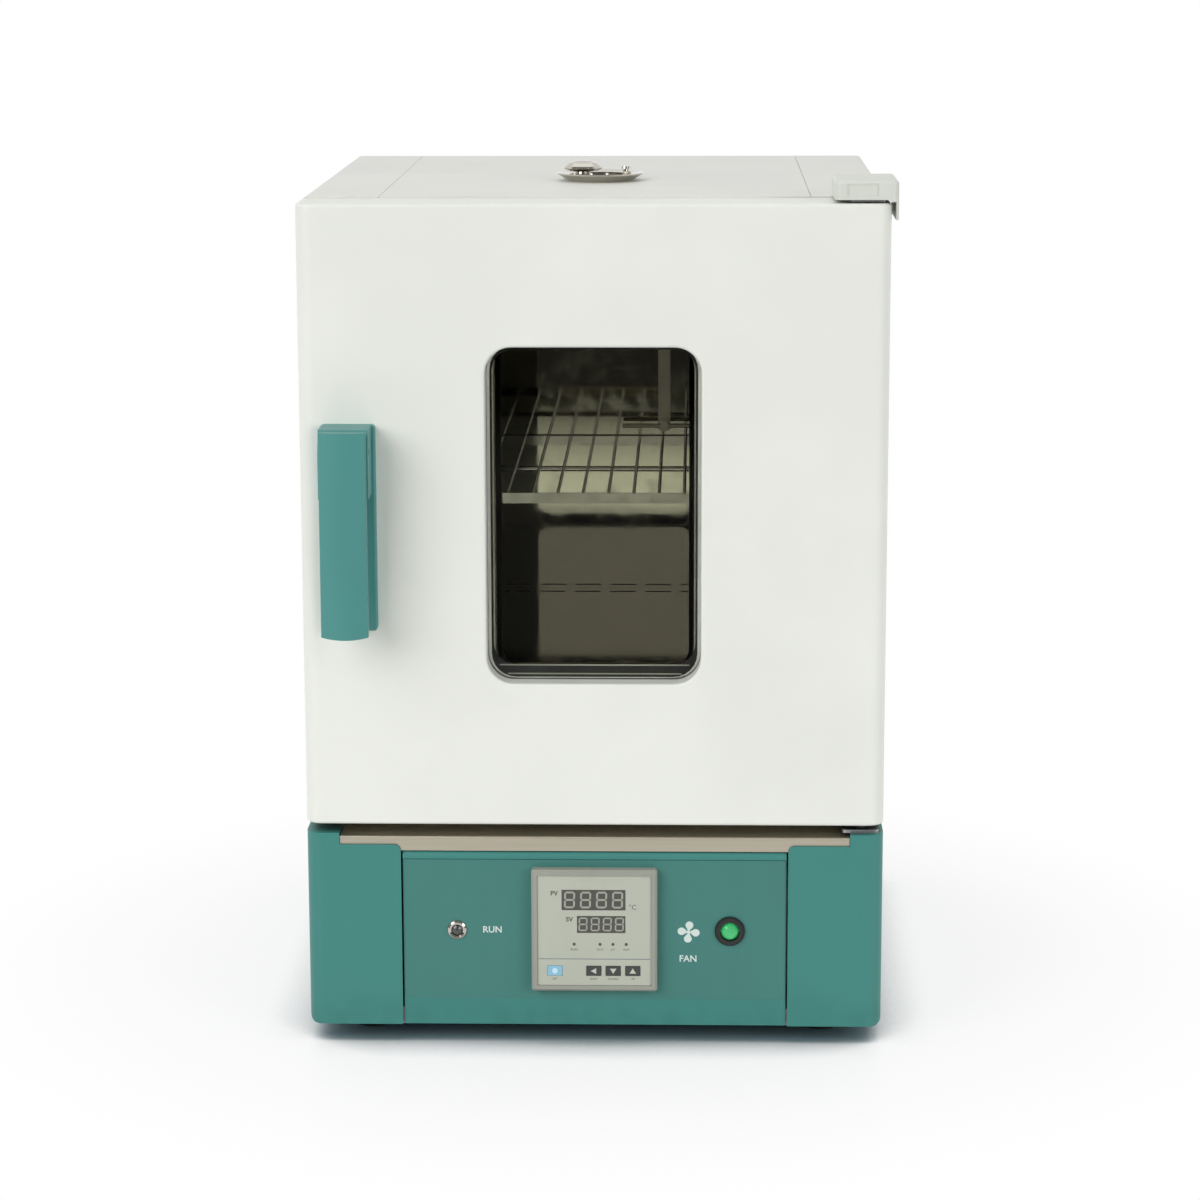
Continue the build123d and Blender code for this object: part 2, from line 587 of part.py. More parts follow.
ROCKER_FRONT = 5.2
ROCKER_DEEP = 5.0
ROCKER_DISH = 9.0         # degrees by which each half of the rocker's face rises outwards
ball = [polar(ROCKER_R, 18 * i) for i in (4, 3, 2, 1, 0, -1, -2)]
rocker = turned_y([(0, -ball[0][1])] + [(r, -h) for r, h in ball] + [(0, -ball[-1][1])], 0, 0, 0)
rocker -= Pos(0, ROCKER_DEEP + 10, 0) * Box(40, 20, 40)
for side in (-1, 1):
    rocker -= Pos(0, -ROCKER_FRONT, 0) * Rot(X=side * ROCKER_DISH) * Pos(0, -10, side * 20) * Box(40, 20, 40)
    rocker += Pos(side * (ROCKER_R - 0.5 + TRUNNION_L / 2), 0, 0) * Rot(Y=90) * Cylinder(TRUNNION_R, TRUNNION_L + 1)
rocker = Pos(SWITCH_X, switch_pivot_y, CONTROL_Z) * Rot(X=ROCKER_TILT) * rocker
keep("fan_switch_rocker", rocker)

# Cabinet shell: two side panels that fold over the top and round the back
TOP_FOLD = 57.7
BACK_FOLD = 14.0
SEAM = 0.4
cabinet_y = (Y_CABINET, Y_BACK - SHEET)


def fold_edges(solid, half, y, z):
    """Edges where a side face meets the back face or the top face."""
    def folded(edge):
        at = edge.center()
        return abs(abs(at.X) - half) < 0.01 and (abs(at.Y - y) < 0.01 or abs(at.Z - z) < 0.01)
    return solid.edges().filter_by(folded)


def side_panel():
    """Left-hand panel, folded over the top by TOP_FOLD and round the back by BACK_FOLD."""
    outside = block((-HALF_W, 0), cabinet_y, (Z_DECK, Z_TOP))
    outside = fillet(fold_edges(outside, HALF_W, cabinet_y[1], Z_TOP), EDGE_R)
    inner = (HALF_W - SHEET, cabinet_y[1] - SHEET, Z_TOP - SHEET)
    inside = block((-inner[0], 1), (Y_CABINET - 1, inner[1]), (Z_DECK - 1, inner[2]))
    wall = outside - fillet(fold_edges(inside, *inner), EDGE_R - SHEET)
    z_fold = Z_TOP - EDGE_R - SHEET
    wall -= block((-HALF_W + TOP_FOLD, 5), (Y_CABINET - 1, Y_BACK), (z_fold, Z_TOP + 1))
    wall -= block((-HALF_W + BACK_FOLD, 5), (Y_BACK - 3 * SHEET, Y_BACK), (Z_DECK - 1, z_fold))
    return wall


left_panel = side_panel()
right_panel = mirror(left_panel, Plane.YZ)
UPPER_SCREW_X = 6.0       # upper bracket's screws either side of the hinge axis
UPPER_SCREW_IN = 11.0     # and behind the cabinet's front
CASE_SCREW_SIDE = 10.0
CASE_SCREW_END = 22.0
BACK_R = 3.0
upper_screws = [Pos(HINGE_X + sx * UPPER_SCREW_X, Y_CABINET + UPPER_SCREW_IN, Z_TOP + BRACKET_T)
                for sx in (-1, 1)]
case_screw_x = HALF_W - CASE_SCREW_SIDE
case_screws = [facing_back(sx * case_screw_x, Y_BACK, z) for sx in (-1, 1)
               for z in (Z_DECK + CASE_SCREW_END, (Z_DECK + Z_TOP) / 2, Z_TOP - CASE_SCREW_END)]
back_panel = block(about(0, BODY_W - 2 * EDGE_R), back_y, (Z_DECK, Z_TOP - EDGE_R))
back_panel = fillet(back_panel.edges().filter_by(Axis.Y), BACK_R)
for place in case_screws:
    hole = place * screw_room(SCREW)
    left_panel -= hole
    right_panel -= hole
    back_panel -= hole
for place in upper_screws:
    right_panel -= place * screw_room(SCREW)
keep("side_panels", left_panel, right_panel)

top_x = HALF_W - TOP_FOLD - SEAM
top_panel = block((-top_x, top_x), (Y_CABINET, Y_BACK - SHEET), (Z_TOP - SHEET, Z_TOP))
top_panel += block((-top_x, top_x), (Y_BACK - 2 * SHEET, Y_BACK - SHEET), (Z_TOP - BACK_FOLD, Z_TOP))
top_panel = fillet(top_panel.edges().filter_by(Axis.X).sort_by_distance(
    Vector(0, Y_BACK - SHEET, Z_TOP))[0], 0.9)
top_panel -= rod_z(0, VENT_Y, (Z_TOP - 5, Z_TOP + 5), VENT_PIPE_R + SCREW_ROOM)

# Back panel with a pressed stiffening field
FIELD = 2.0
back_panel += slab_y(about(0, BODY_W * 0.62), (Y_BACK, Y_BACK + FIELD),
                     about((Z_DECK + Z_TOP) / 2, CABINET_H * 0.66), 18)
keep("back_panel", back_panel)

# Stainless front frame round the mouth, and the chamber liner
mouth = dict(x=about(0, CHAMBER_W), z=(Z_CHAMBER, Z_CEILING))
frame_x = HALF_W - SHEET
frame = block((-frame_x, frame_x), (Y_CABINET, Y_CABINET + SHEET), (Z_DECK, Z_TOP - SHEET))
frame = fillet(frame.edges().filter_by(Axis.Y).group_by(Axis.Z)[-1], EDGE_R)
frame -= block(mouth["x"], (Y_CABINET - 1, Y_CABINET + 2 * SHEET), mouth["z"])
keep("front_frame", frame)

liner_y = (Y_CABINET + SHEET, Y_CHAMBER_BACK)
liner_outside = block(about(0, CHAMBER_W + 2 * LINER), (liner_y[0], liner_y[1] + LINER),
                      (Z_CHAMBER - LINER, Z_CEILING + LINER))
liner = liner_outside - block(mouth["x"], (liner_y[0] - 1, liner_y[1]), mouth["z"])
SENSOR_X = 50.0
SENSOR_IN = 19.0          # sensor in front of the chamber's back
SENSOR_RISE = 143.0       # and above the false floor
SENSOR_TAIL = 24.0        # sensor's end beyond the chamber's side
SENSOR_Y = Y_CHAMBER_BACK - SENSOR_IN
SENSOR_Z = Z_FLOOR + SENSOR_RISE
SENSOR_R = 1.8
GROMMET_R = 5.0
shaft_hole = rod_z(0, FAN_Y, (Z_DECK - 5, Z_CHAMBER + 5), SHAFT_R + 4)
vent_hole = rod_z(0, VENT_Y, (Z_CEILING - 5, Z_TOP), VENT_PIPE_R + SCREW_ROOM)
sensor_hole = rod_x((CHAMBER_W / 2 - 5, CHAMBER_W / 2 + SENSOR_TAIL + 1), SENSOR_Y, SENSOR_Z, GROMMET_R)
heater_z = Z_CHAMBER + HEATER_RISE
heater_runs = [sx * (HEATER_X + step) for sx in (-1, 1) for step in (0, 2 * HEATER_BEND)]
HEATER_TAIL = 24.0
heater_holes = [rod_y(x, (Y_CHAMBER_BACK - 5, Y_CHAMBER_BACK + HEATER_TAIL), heater_z, HEATER_R + SCREW_ROOM)
                for x in heater_runs]
SCREW_POCKET = 8.0        # square pocket in the insulation round a screw
for hole in [shaft_hole, vent_hole, sensor_hole] + heater_holes:
    liner -= hole
keep("chamber_liner", liner)

insulation = block((-frame_x + SLIP, frame_x - SLIP), (Y_CABINET + SHEET, Y_BACK - 2 * SHEET - SLIP),
                   (Z_DECK, Z_TOP - SHEET - SLIP))
insulation = chamfer(fold_edges(insulation, frame_x - SLIP, Y_BACK - 2 * SHEET - SLIP,
                                Z_TOP - SHEET - SLIP), EDGE_R)
insulation -= liner_outside
for hole in [shaft_hole, vent_hole, sensor_hole] + heater_holes:
    insulation -= hole
for place in case_screws + upper_screws + motor_screws:
    insulation -= place * Box(SCREW_POCKET, SCREW_POCKET, 3 * SCREW_POCKET)
keep("chamber_insulation", insulation)
keep("top_panel", top_panel)

# False floor: folded plate over the heaters, slotted along three edges
PLATE_T = 1.2
floor_x = CHAMBER_W / 2 - SLIP
floor_y = (Y_CABINET + 3.0, Y_CHAMBER_BACK - SLIP)
plate = block((-floor_x, floor_x), floor_y, (Z_CHAMBER, Z_FLOOR))
plate -= block((-floor_x + PLATE_T, floor_x - PLATE_T), (floor_y[0] + PLATE_T, Y_BACK),
               (Z_CHAMBER - 1, Z_FLOOR - PLATE_T))
SIDE_SLOTS = 8
BACK_SLOTS = 8
SLOT_INSET = 15.0
for i in range(SIDE_SLOTS):
    y = Y_CHAMBER_MID + (i - (SIDE_SLOTS - 1) / 2) * SLOT_PITCH
    for side in (-1, 1):
        plate -= block(about(side * (floor_x - SLOT_INSET), SLOT_W), about(y, SLOT_L), about(Z_FLOOR, 10))
for i in range(BACK_SLOTS):
    x = (i - (BACK_SLOTS - 1) / 2) * SLOT_PITCH
    plate -= block(about(x, SLOT_L), about(floor_y[1] - SLOT_INSET, SLOT_W), about(Z_FLOOR, 10))
keep("floor_plate", plate)

# Tubular heaters: one hairpin each side of the fan, with tails through the back wall
HEATER_IN = 60.0          # heaters' bends behind the cabinet's front
HEATER_SIDES = 10         # flats round the tube
HEATER_FLANGE = 4.0       # collar's width round the tube
HEATER_COLLAR = 2.0       # collar's thickness
heater_front = Y_CABINET + HEATER_IN


def hairpin(side):
    inner, outer = side * HEATER_X, side * (HEATER_X + 2 * HEATER_BEND)
    length = Y_CHAMBER_BACK + HEATER_TAIL - 2 - heater_front
    ends = [Plane(origin=(x, heater_front, heater_z), x_dir=(1, 0, 0), z_dir=(0, 1, 0)) for x in (inner, outer)]
    section = RegularPolygon(HEATER_R, HEATER_SIDES)
    legs = [extrude(end * section, amount=length) for end in ends]
    middle = (inner + outer) / 2
    bend = revolve(ends[1] * section, Axis((middle, heater_front, heater_z), (0, 0, 1)), -180 * side)
    collars = [rod_y(x, (Y_CHAMBER_BACK - HEATER_COLLAR, Y_CHAMBER_BACK), heater_z, HEATER_R + HEATER_FLANGE)
               for x in (inner, outer)]
    return legs[0] + legs[1] + bend + collars[0] + collars[1]


keep("heating_elements", hairpin(-1), hairpin(1))

# Circulation fan: motor under the deck, shaft through the insulation, bladed wheel
z_motor = (Z_DECK - SHEET - MOTOR_H, Z_DECK - SHEET)
motor = rod_z(0, FAN_Y, z_motor, MOTOR_R)
motor = chamfer(motor.edges().filter_by(GeomType.CIRCLE).sort_by(Axis.Z)[0], 4.0)
lug = block((-MOTOR_LUG_R - 7, MOTOR_LUG_R + 7), about(FAN_Y, 16.0), (z_motor[1] - 3.0, z_motor[1]))
motor += lug
motor -= rod_z(0, FAN_Y, (z_motor[0] + 12, z_motor[1] + 1), SHAFT_R + RUN_FIT)
MOTOR_FINS = 10
for i in range(MOTOR_FINS):
    fin = Pos(0, FAN_Y, z_motor[0]) * Rot(Z=i * 360 / MOTOR_FINS) * Pos(MOTOR_R * 0.62, 0, 0)
    motor -= fin * Box(16, 4, 8)
for place in motor_screws:
    motor -= place * Pos(0, 0, -6) * Cylinder(SCREW["shank_r"] + SCREW_ROOM, 14)
keep("fan_motor", motor)
all_screws = base_screws + case_screws + motor_screws + upper_screws + lower_screws
keep("machine_screws", *[place * screw(**SCREW) for place in all_screws])

z_wheel = Z_CHAMBER + FAN_LIFT
BACKPLATE = 1.2
HUB_R = 10.0
BLADE_IN = 0.42 * FAN_R
BLADE_T = 1.4
BLADE_SWEEP = 34.0        # degrees that a blade trails from root to tip


fan_at = Pos(0, FAN_Y, z_wheel)
blade_line = ThreePointArc((BLADE_IN, 0), polar((BLADE_IN + FAN_R) / 2, BLADE_SWEEP * 0.36),
                           polar(FAN_R - 1.0, BLADE_SWEEP))
blade = extrude(trace(blade_line, BLADE_T), amount=FAN_BLADE_H)
wheel = fan_at * Cylinder(FAN_R, BACKPLATE, align=(Align.CENTER, Align.CENTER, Align.MIN))
wheel += fan_at * Cylinder(HUB_R, FAN_BLADE_H, align=(Align.CENTER, Align.CENTER, Align.MIN))
for i in range(FAN_BLADES):
    wheel += fan_at * Rot(Z=i * 360 / FAN_BLADES) * blade
shaft = rod_z(0, FAN_Y, (z_motor[0] + 14, z_wheel + FAN_BLADE_H + 3), SHAFT_R)
keep("fan_rotor", wheel - shaft, shaft)

# Shelf racks: two posts a side with ledges, bent inwards, at equal levels
Z_SHELF = Z_FLOOR + SHELF_RISE - 3.0
z_rails = [Z_SHELF - SLIP + (i - RAIL_LEVELS // 2) * RAIL_PITCH for i in range(RAIL_LEVELS)]
rail_y = (Y_CABINET + 2.0, Y_CHAMBER_BACK - SLIP)
POST_SHORT = 12.0         # posts' tops below the ceiling
post_x = (CHAMBER_W / 2 - PLATE_T, CHAMBER_W / 2)
post_z = (Z_FLOOR + SLIP, Z_CEILING - POST_SHORT)
ledge_x = (post_x[0] - RAIL_W, post_x[0])
rack = block(post_x, about(rail_y[0] + POST_INSET, POST_W), post_z)
rack += block(post_x, about(rail_y[1] - POST_INSET, POST_W), post_z)
for z in z_rails:
    rack += block(ledge_x, rail_y, (z - RAIL_T, z))
    rack += block((post_x[0] - RAIL_T, post_x[0]), rail_y, (z - RAIL_T, z + SHELF_STRIP_H))
keep("shelf_racks", mirror(rack, Plane.YZ), rack)

# Wire shelf: flat strips front and back, rods at the sides and middle, wires front to back
shelf_x = about(0, SHELF_W)
shelf_y = (Y_CABINET + SHELF_IN, Y_CABINET + SHELF_IN + SHELF_D)
z_wire = Z_SHELF + SHELF_STRIP_H - WIRE_R - WELD / 2
z_rod = z_wire - WIRE_R - SHELF_ROD_R + WELD
strip_z = (Z_SHELF, Z_SHELF + SHELF_STRIP_H)
shelf = block(shelf_x, (shelf_y[0], shelf_y[0] + SHELF_STRIP_T), strip_z)
shelf += block(shelf_x, (shelf_y[1] - SHELF_STRIP_T, shelf_y[1]), strip_z)
inside_y = (shelf_y[0] + SHELF_STRIP_T / 2, shelf_y[1] - SHELF_STRIP_T / 2)
for side in (-1, 1):
    shelf += rod_y(side * (SHELF_W / 2 - SHELF_ROD_R - WELD), inside_y, z_rod, SHELF_ROD_R)
cross_x = grown(shelf_x, -SHELF_ROD_R - WELD)
shelf += rod_x(cross_x, Y_CHAMBER_MID - 1, z_rod + CROSS_THIN, SHELF_ROD_R - CROSS_THIN)
wires = int((SHELF_W - 20) // WIRE_PITCH) + 1
for i in range(wires):
    shelf += rod_y((i - (wires - 1) / 2) * WIRE_PITCH, inside_y, z_wire, WIRE_R)
keep("wire_shelf", shelf)

# Temperature sensor through the right wall, held by a strip from the ceiling
SENSOR_TIP = 15.0
GROMMET_L = 6.0
GROMMET_LIP = 2.0
wall_x = CHAMBER_W / 2
sensor = rod_x((SENSOR_TIP, wall_x + SENSOR_TAIL), SENSOR_Y, SENSOR_Z, SENSOR_R)
sensor += rod_x((wall_x - GROMMET_LIP, wall_x), SENSOR_Y, SENSOR_Z, GROMMET_R + GROMMET_LIP)
sensor += rod_x((wall_x, wall_x + GROMMET_L), SENSOR_Y, SENSOR_Z, GROMMET_R)
keep("temperature_sensor", sensor)
STRIP_W = 10.0
STRIP_T = 1.5
STRIP_FOOT = 14.0         # strip's foot on the ceiling
CLIP_H = 8.0
strip_y = (SENSOR_Y + SENSOR_R, SENSOR_Y + SENSOR_R + STRIP_T)
bracket = block(about(SENSOR_X, STRIP_W), strip_y, (SENSOR_Z - CLIP_H / 2, Z_CEILING))
bracket += block(about(SENSOR_X, STRIP_W), (strip_y[0] - STRIP_FOOT, strip_y[1]), (Z_CEILING - STRIP_T, Z_CEILING))
clip = block(about(SENSOR_X, STRIP_W * 0.6), (SENSOR_Y - CLIP_H / 2, strip_y[0]), about(SENSOR_Z, CLIP_H))
bracket += clip - rod_x(about(SENSOR_X, STRIP_W), SENSOR_Y, SENSOR_Z, SENSOR_R)
keep("sensor_bracket", bracket)

# Vent: dished flange with two ports, turning disc with an offset knob, pipe, stop screw
PORT_R = (6.5, 17.5)
PORT_SWEEP = 74.0
VENT_FLOOR = 1.2
DISC_LIFT = VENT_FLOOR + SLIP
VENT_PIN_R = 2.5
VENT_BOSS_R = 5.0
VENT_BOSS_H = 7.0


def sector(radii, start, sweep, z):
    """A port: the part of a ring between two angles."""
    inner, outer = [CenterArc((0, 0), r, start, sweep) for r in radii]
    face = make_face([inner, outer, Line(inner @ 0, outer @ 0), Line(inner @ 1, outer @ 1)])
    return Pos(0, 0, z[0]) * extrude(face, amount=z[1] - z[0])


def ports(start):
    return [sector(PORT_R, start + turn - PORT_SWEEP / 2, PORT_SWEEP, (-1, VENT_H)) for turn in (0, 180)]


recess_r = VENT_DISC_R + 0.5
VENT_DISH = 1.8           # fall of the dished rim towards the disc
flange = turned([(0, 0), (VENT_BASE_R, 0), (VENT_R - 0.4, VENT_H - 1.4), (VENT_R, VENT_H - 0.7),
                 (VENT_R - 0.6, VENT_H), (recess_r, VENT_H - VENT_DISH), (recess_r, VENT_FLOOR), (0, VENT_FLOOR)],
                0, 0, 0)
for port in ports(0):
    flange -= port
flange += Pos(0, 0, -VENT_BOSS_H / 2) * Cylinder(VENT_BOSS_R, VENT_BOSS_H)
flange -= Cylinder(VENT_PIN_R + RUN_FIT, 4 * VENT_BOSS_H)
vent_at = Pos(0, VENT_Y, Z_TOP)
screw_spot = Pos(*polar(VENT_SCREW_R, VENT_SCREW_AT), VENT_H)
STOP_R = 2.0
STOP_SINK = 3.0
STOP_CAP = dict(r=3.7, low=1.2, high=3.2)
stop = turned([(0, -STOP_SINK), (STOP_R, -STOP_SINK), (STOP_R, STOP_CAP["low"]), (STOP_CAP["r"], STOP_CAP["low"]),
               (STOP_CAP["r"] * 0.85, STOP_CAP["high"]), (0, STOP_CAP["high"])], 0, 0, 0)
flange -= screw_spot * Cylinder(STOP_R, 2 * STOP_SINK)
keep("vent_flange", vent_at * flange)
keep("vent_stop_screw", vent_at * screw_spot * stop)
keep("vent_pipe", tube_z(0, VENT_Y, (Z_CEILING, Z_TOP), VENT_PIPE_R, VENT_PIPE_R - 1))
disc = Pos(0, 0, DISC_LIFT + VENT_DISC_T / 2) * Cylinder(VENT_DISC_R, VENT_DISC_T)
for port in ports(90):
    disc -= Pos(0, 0, 2) * port
disc += Pos(0, 0, (DISC_LIFT - VENT_BOSS_H) / 2) * Cylinder(VENT_PIN_R, DISC_LIFT + VENT_BOSS_H)
disc_top = DISC_LIFT + VENT_DISC_T
keep("vent_disc", vent_at * disc)
knob_low = VENT_KNOB_TOP - 8.5
knob_shape = [(0.74, 0), (0.985, 0.2), (1.0, 0.27), (0.93, 0.46), (0.72, 0.75), (0.39, 0.94), (0, 1)]
knob = turned([(0, disc_top), (6.0, disc_top), (6.0, knob_low)] +
              [(VENT_KNOB_R * r, knob_low + 8.5 * h) for r, h in knob_shape], -VENT_KNOB_X, 0, 0)
keep("vent_knob", vent_at * knob)

# Door: outer pan with the window reveal, insulation and embossed inner panel
door_y = (Y_FRONT, Y_DOOR_BACK)
rim_y = (Y_FRONT, Y_CABINET - RIM_GAP)
pan = block((-HALF_W, HALF_W), door_y, Z_DOOR) + block((-HALF_W, HINGE_X - RIM_STOP), rim_y, Z_DOOR)
pan = front_bends(pan, Y_FRONT, BEND_R)
pan = fillet(pan.edges().filter_by(Axis.X).filter_by(lambda e: abs(e.center().Y - Y_FRONT) < 0.01), DOOR_FOLD)
pan_in_x = HALF_W - SHEET
pan_in_z = (Z_DOOR[0] + SHEET, Z_DOOR[1] - SHEET)
inside = block((-pan_in_x, pan_in_x), (Y_FRONT + SHEET, Y_CABINET), pan_in_z)
pan -= front_bends(inside, Y_FRONT + SHEET, BEND_R - SHEET)
win_x = about(0, WINDOW_W)


def window_slab(by, y):
    """The window opening, grown all round, between two depths."""
    return slab_y(grown(win_x, by), y, grown(Z_WINDOW, by), WINDOW_R + by)


reveal_y = (Y_FRONT, Y_FRONT + REVEAL)
pan += window_slab(WINDOW_LIP + SHEET, (Y_FRONT + SHEET / 2, Y_FRONT + WINDOW_LIP + SHEET))
pan += window_slab(SHEET, (Y_FRONT + SHEET / 2, reveal_y[1]))
pan -= window_slab(0, (Y_FRONT - 1, reveal_y[1] + 1))
lip = [e for e in pan.edges() if abs(e.center().Y - Y_FRONT) < 0.01 and abs(e.center().X) < win_x[1] + 1
       and Z_WINDOW[0] - 1 < e.center().Z < Z_WINDOW[1] + 1]
pan = fillet(lip, WINDOW_LIP)

hinge_line = Pos(HINGE_X, HINGE_Y, 0)
for z in Z_DOOR:
    pan -= rod_z(HINGE_X, HINGE_Y, about(z, 10), BUSH_R)
NOSE_Z = Z_HANDLE[1] - PIVOT_DOWN + NOSE_UP
push_hole = rod_y(HANDLE_X, grown(door_y, HANDLE_PLATE_T + 3), NOSE_Z, PUSH_R + RUN_FIT)
pan -= push_hole
keep("door_outer_panel", pan)

PLATEAU_IN = 12.0         # raised field's edge inside the chamber mouth
PLATEAU = dict(x=grown(mouth["x"], -PLATEAU_IN), z=grown(mouth["z"], -PLATEAU_IN))
PLATEAU_RISE = 3.5
PLATEAU_SLOPE = 3.0
inner_y = (Y_DOOR_BACK - LINER, Y_DOOR_BACK)
inner_win_x = grown(win_x, -INNER_NARROW / 2)
inner_win_z = grown(Z_WINDOW, -INNER_LOW / 2)
INNER_R = 14.0


y_plateau = Y_DOOR_BACK + PLATEAU_RISE
inner = block((-pan_in_x, pan_in_x), inner_y, pan_in_z)
raised = slab_y(PLATEAU["x"], (Y_DOOR_BACK, y_plateau), PLATEAU["z"], 12)
raised = chamfer(raised.faces().sort_by(Axis.Y)[-1].edges(), PLATEAU_SLOPE)
inner += raised
inner -= slab_y(grown(PLATEAU["x"], -PLATEAU_SLOPE - 0.6), (inner_y[0] - 1, y_plateau - LINER),
                grown(PLATEAU["z"], -PLATEAU_SLOPE - 0.6), 9)
inner -= slab_y(inner_win_x, (inner_y[0] - 1, y_plateau + 1), inner_win_z, INNER_R)
inner -= push_hole
keep("door_inner_panel", inner)

# Double glazing: two panes, a rubber channel round the front one, a sleeve between them
glass_back = y_plateau - LINER
front_pane_y = (reveal_y[1] + 1.5, reveal_y[1] + 1.5 + GLASS_T)
rear_pane_y = (glass_back - GLASS_T, glass_back)
front_pane = window_slab(GLASS_LAP, front_pane_y)
seal = window_slab(GLASS_LAP + 2.5, (reveal_y[1], front_pane_y[1] + 1.5))
seal -= window_slab(0, (reveal_y[1] - 1, front_pane_y[1] + 3))
rear_pane = slab_y(grown(inner_win_x, GLASS_LAP), rear_pane_y, grown(inner_win_z, GLASS_LAP), INNER_R + 4)
keep("window_panes", front_pane, rear_pane)
keep("window_seal", seal - front_pane)
SLEEVE_GAP = 4.0
SLEEVE_T = 1.2
sleeve_y = (front_pane_y[1] + 1.5, rear_pane_y[0])


def sleeve_slab(by, y):
    return slab_y(grown(inner_win_x, SLEEVE_GAP + by), y, grown(Z_WINDOW, by + 1), WINDOW_R + by)


sleeve = sleeve_slab(SLEEVE_T, sleeve_y) - sleeve_slab(0, grown(sleeve_y, 1))
keep("window_sleeve", sleeve)

# Door seal: a hollow-looking bulb strip that meets the cabinet's front frame
SEAL_W = 10.0
SEAL_OUT = 14.0           # seal's outer edge beyond the chamber mouth
seal_out = (grown(mouth["x"], SEAL_OUT), grown(mouth["z"], SEAL_OUT))
seal_in = (grown(seal_out[0], -SEAL_W), grown(seal_out[1], -SEAL_W))
seal_y = (Y_DOOR_BACK, Y_CABINET - SLIP)
gasket = slab_y(seal_out[0], seal_y, seal_out[1], 14)
gasket -= slab_y(seal_in[0], grown(seal_y, 1), seal_in[1], 14 - SEAL_W)
gasket = chamfer(gasket.faces().sort_by(Axis.Y)[-1].edges(), 2.6)
keep("door_gasket", gasket)

# Hinge: bushes in the door, pins on two brackets, screws
bush = Cylinder(BUSH_R, BUSH_L, align=(Align.CENTER, Align.CENTER, Align.MAX))
bush -= Cylinder(PIN_R + RUN_FIT, 3 * BUSH_L)
thrust = Cylinder(BUSH_R + 2, 1.5, align=(Align.CENTER, Align.CENTER, Align.MAX))
thrust -= Cylinder(PIN_R + RUN_FIT, 3 * BUSH_L)
upper_bush = hinge_line * Pos(0, 0, Z_DOOR[1]) * bush
lower_bush = hinge_line * Pos(0, 0, Z_DOOR[0]) * (Rot(X=180) * bush + thrust)
keep("hinge_bushes", upper_bush, lower_bush)

bracket_x = about(HINGE_X, BRACKET_W)
bracket_y = (HINGE_Y - 11.0, Y_CABINET + 18.0)
upper = block(bracket_x, bracket_y, (Z_TOP, Z_TOP + BRACKET_T))
upper = fillet(upper.edges().filter_by(Axis.Z), BRACKET_R)
upper += rod_z(HINGE_X, HINGE_Y, (Z_DOOR[1] - BUSH_L + 1, Z_TOP + 0.5), PIN_R)
for place in upper_screws:
    upper -= place * screw_room(SCREW)
lower = block(bracket_x, (bracket_y[0], Y_CABINET - 1.0), (Z_DECK, Z_DECK + BRACKET_T))
lower = fillet(lower.edges().filter_by(Axis.Z), BRACKET_R)
lower += rod_z(HINGE_X, HINGE_Y, (Z_DECK + BRACKET_T / 2, Z_DOOR[0] - 1.5 - SLIP), BUSH_R - 0.4)
lower += rod_z(HINGE_X, HINGE_Y, (Z_DECK + BRACKET_T / 2, Z_DOOR[0] + BUSH_L - 2), PIN_R)
for place in lower_screws:
    lower -= place * screw_room(SCREW)
keep("hinge_brackets", upper, lower)

# Upper hinge cover: a cap over bracket and pin whose leg clears the turning door corner
swing = hypot(HALF_W - BEND_R - HINGE_X, BEND_R - HINGE_IN) + BEND_R
leg_x = HINGE_X + swing + 0.5
cover_x = (HINGE_X - COVER_LEFT, leg_x + COVER_T)
cover_y = (Y_FRONT + COVER_FRONT, Y_FRONT + COVER_FRONT + COVER_D)
cover = block(cover_x, cover_y, (Z_TOP - COVER_LEG, Z_TOP + COVER_H))
cover = fillet(cover.edges().filter_by(Axis.Z), COVER_R)
cover = fillet(cover.faces().sort_by(Axis.Z)[-1].edges(), 2.5)
cover -= block((0, leg_x), grown(cover_y, 1), (0, Z_TOP))
cover -= block((0, leg_x - COVER_R), (cover_y[0] - 1, Y_CABINET - 4), (0, Z_TOP + 1.5))
room = block((cover_x[0] + COVER_T, leg_x), (cover_y[0] + 2.5, cover_y[1] - COVER_T),
             (Z_TOP - 1, Z_TOP + COVER_H - COVER_T))
cover -= fillet(room.edges().filter_by(Axis.Z), COVER_R - COVER_T)
COVER_INSET = dict(x=(-15.5, 7.5), z=(4.4, 13.2))
cover -= slab_y((HINGE_X + COVER_INSET["x"][0], HINGE_X + COVER_INSET["x"][1]), (cover_y[0] - 1, cover_y[0] + 0.8),
                (Z_TOP + COVER_INSET["z"][0], Z_TOP + COVER_INSET["z"][1]), 1.0)
keep("upper_hinge_cover", cover)

# Handle: fixed housing, sprung pull lever on a cross pin, and the push-off pin it works
handle_x = about(HANDLE_X + HANDLE_OFF, HANDLE_W)
plate_y = (Y_FRONT - HANDLE_PLATE_T, Y_FRONT)
y_crown = Y_FRONT - HANDLE_PROUD
y_lever_back = y_crown + LEVER_T
y_cheek = y_lever_back + LEVER_GAP
pivot = (y_crown + PIVOT_IN, Z_HANDLE[1] - PIVOT_DOWN)
nose = (pivot[0], NOSE_Z)
z_head = Z_HANDLE[1] - HANDLE_HEAD_H
cheek_x = about(HANDLE_X, CHEEK_W)
cavity_x = grown(cheek_x, -CHEEK_T)


def side_profile(points, x):
    """A solid from (depth, height) points, between two widths."""
    outline = make_face(Polyline(*[(x[0], y, z) for y, z in points], close=True))
    return extrude(outline, amount=x[1] - x[0], dir=(1, 0, 0))


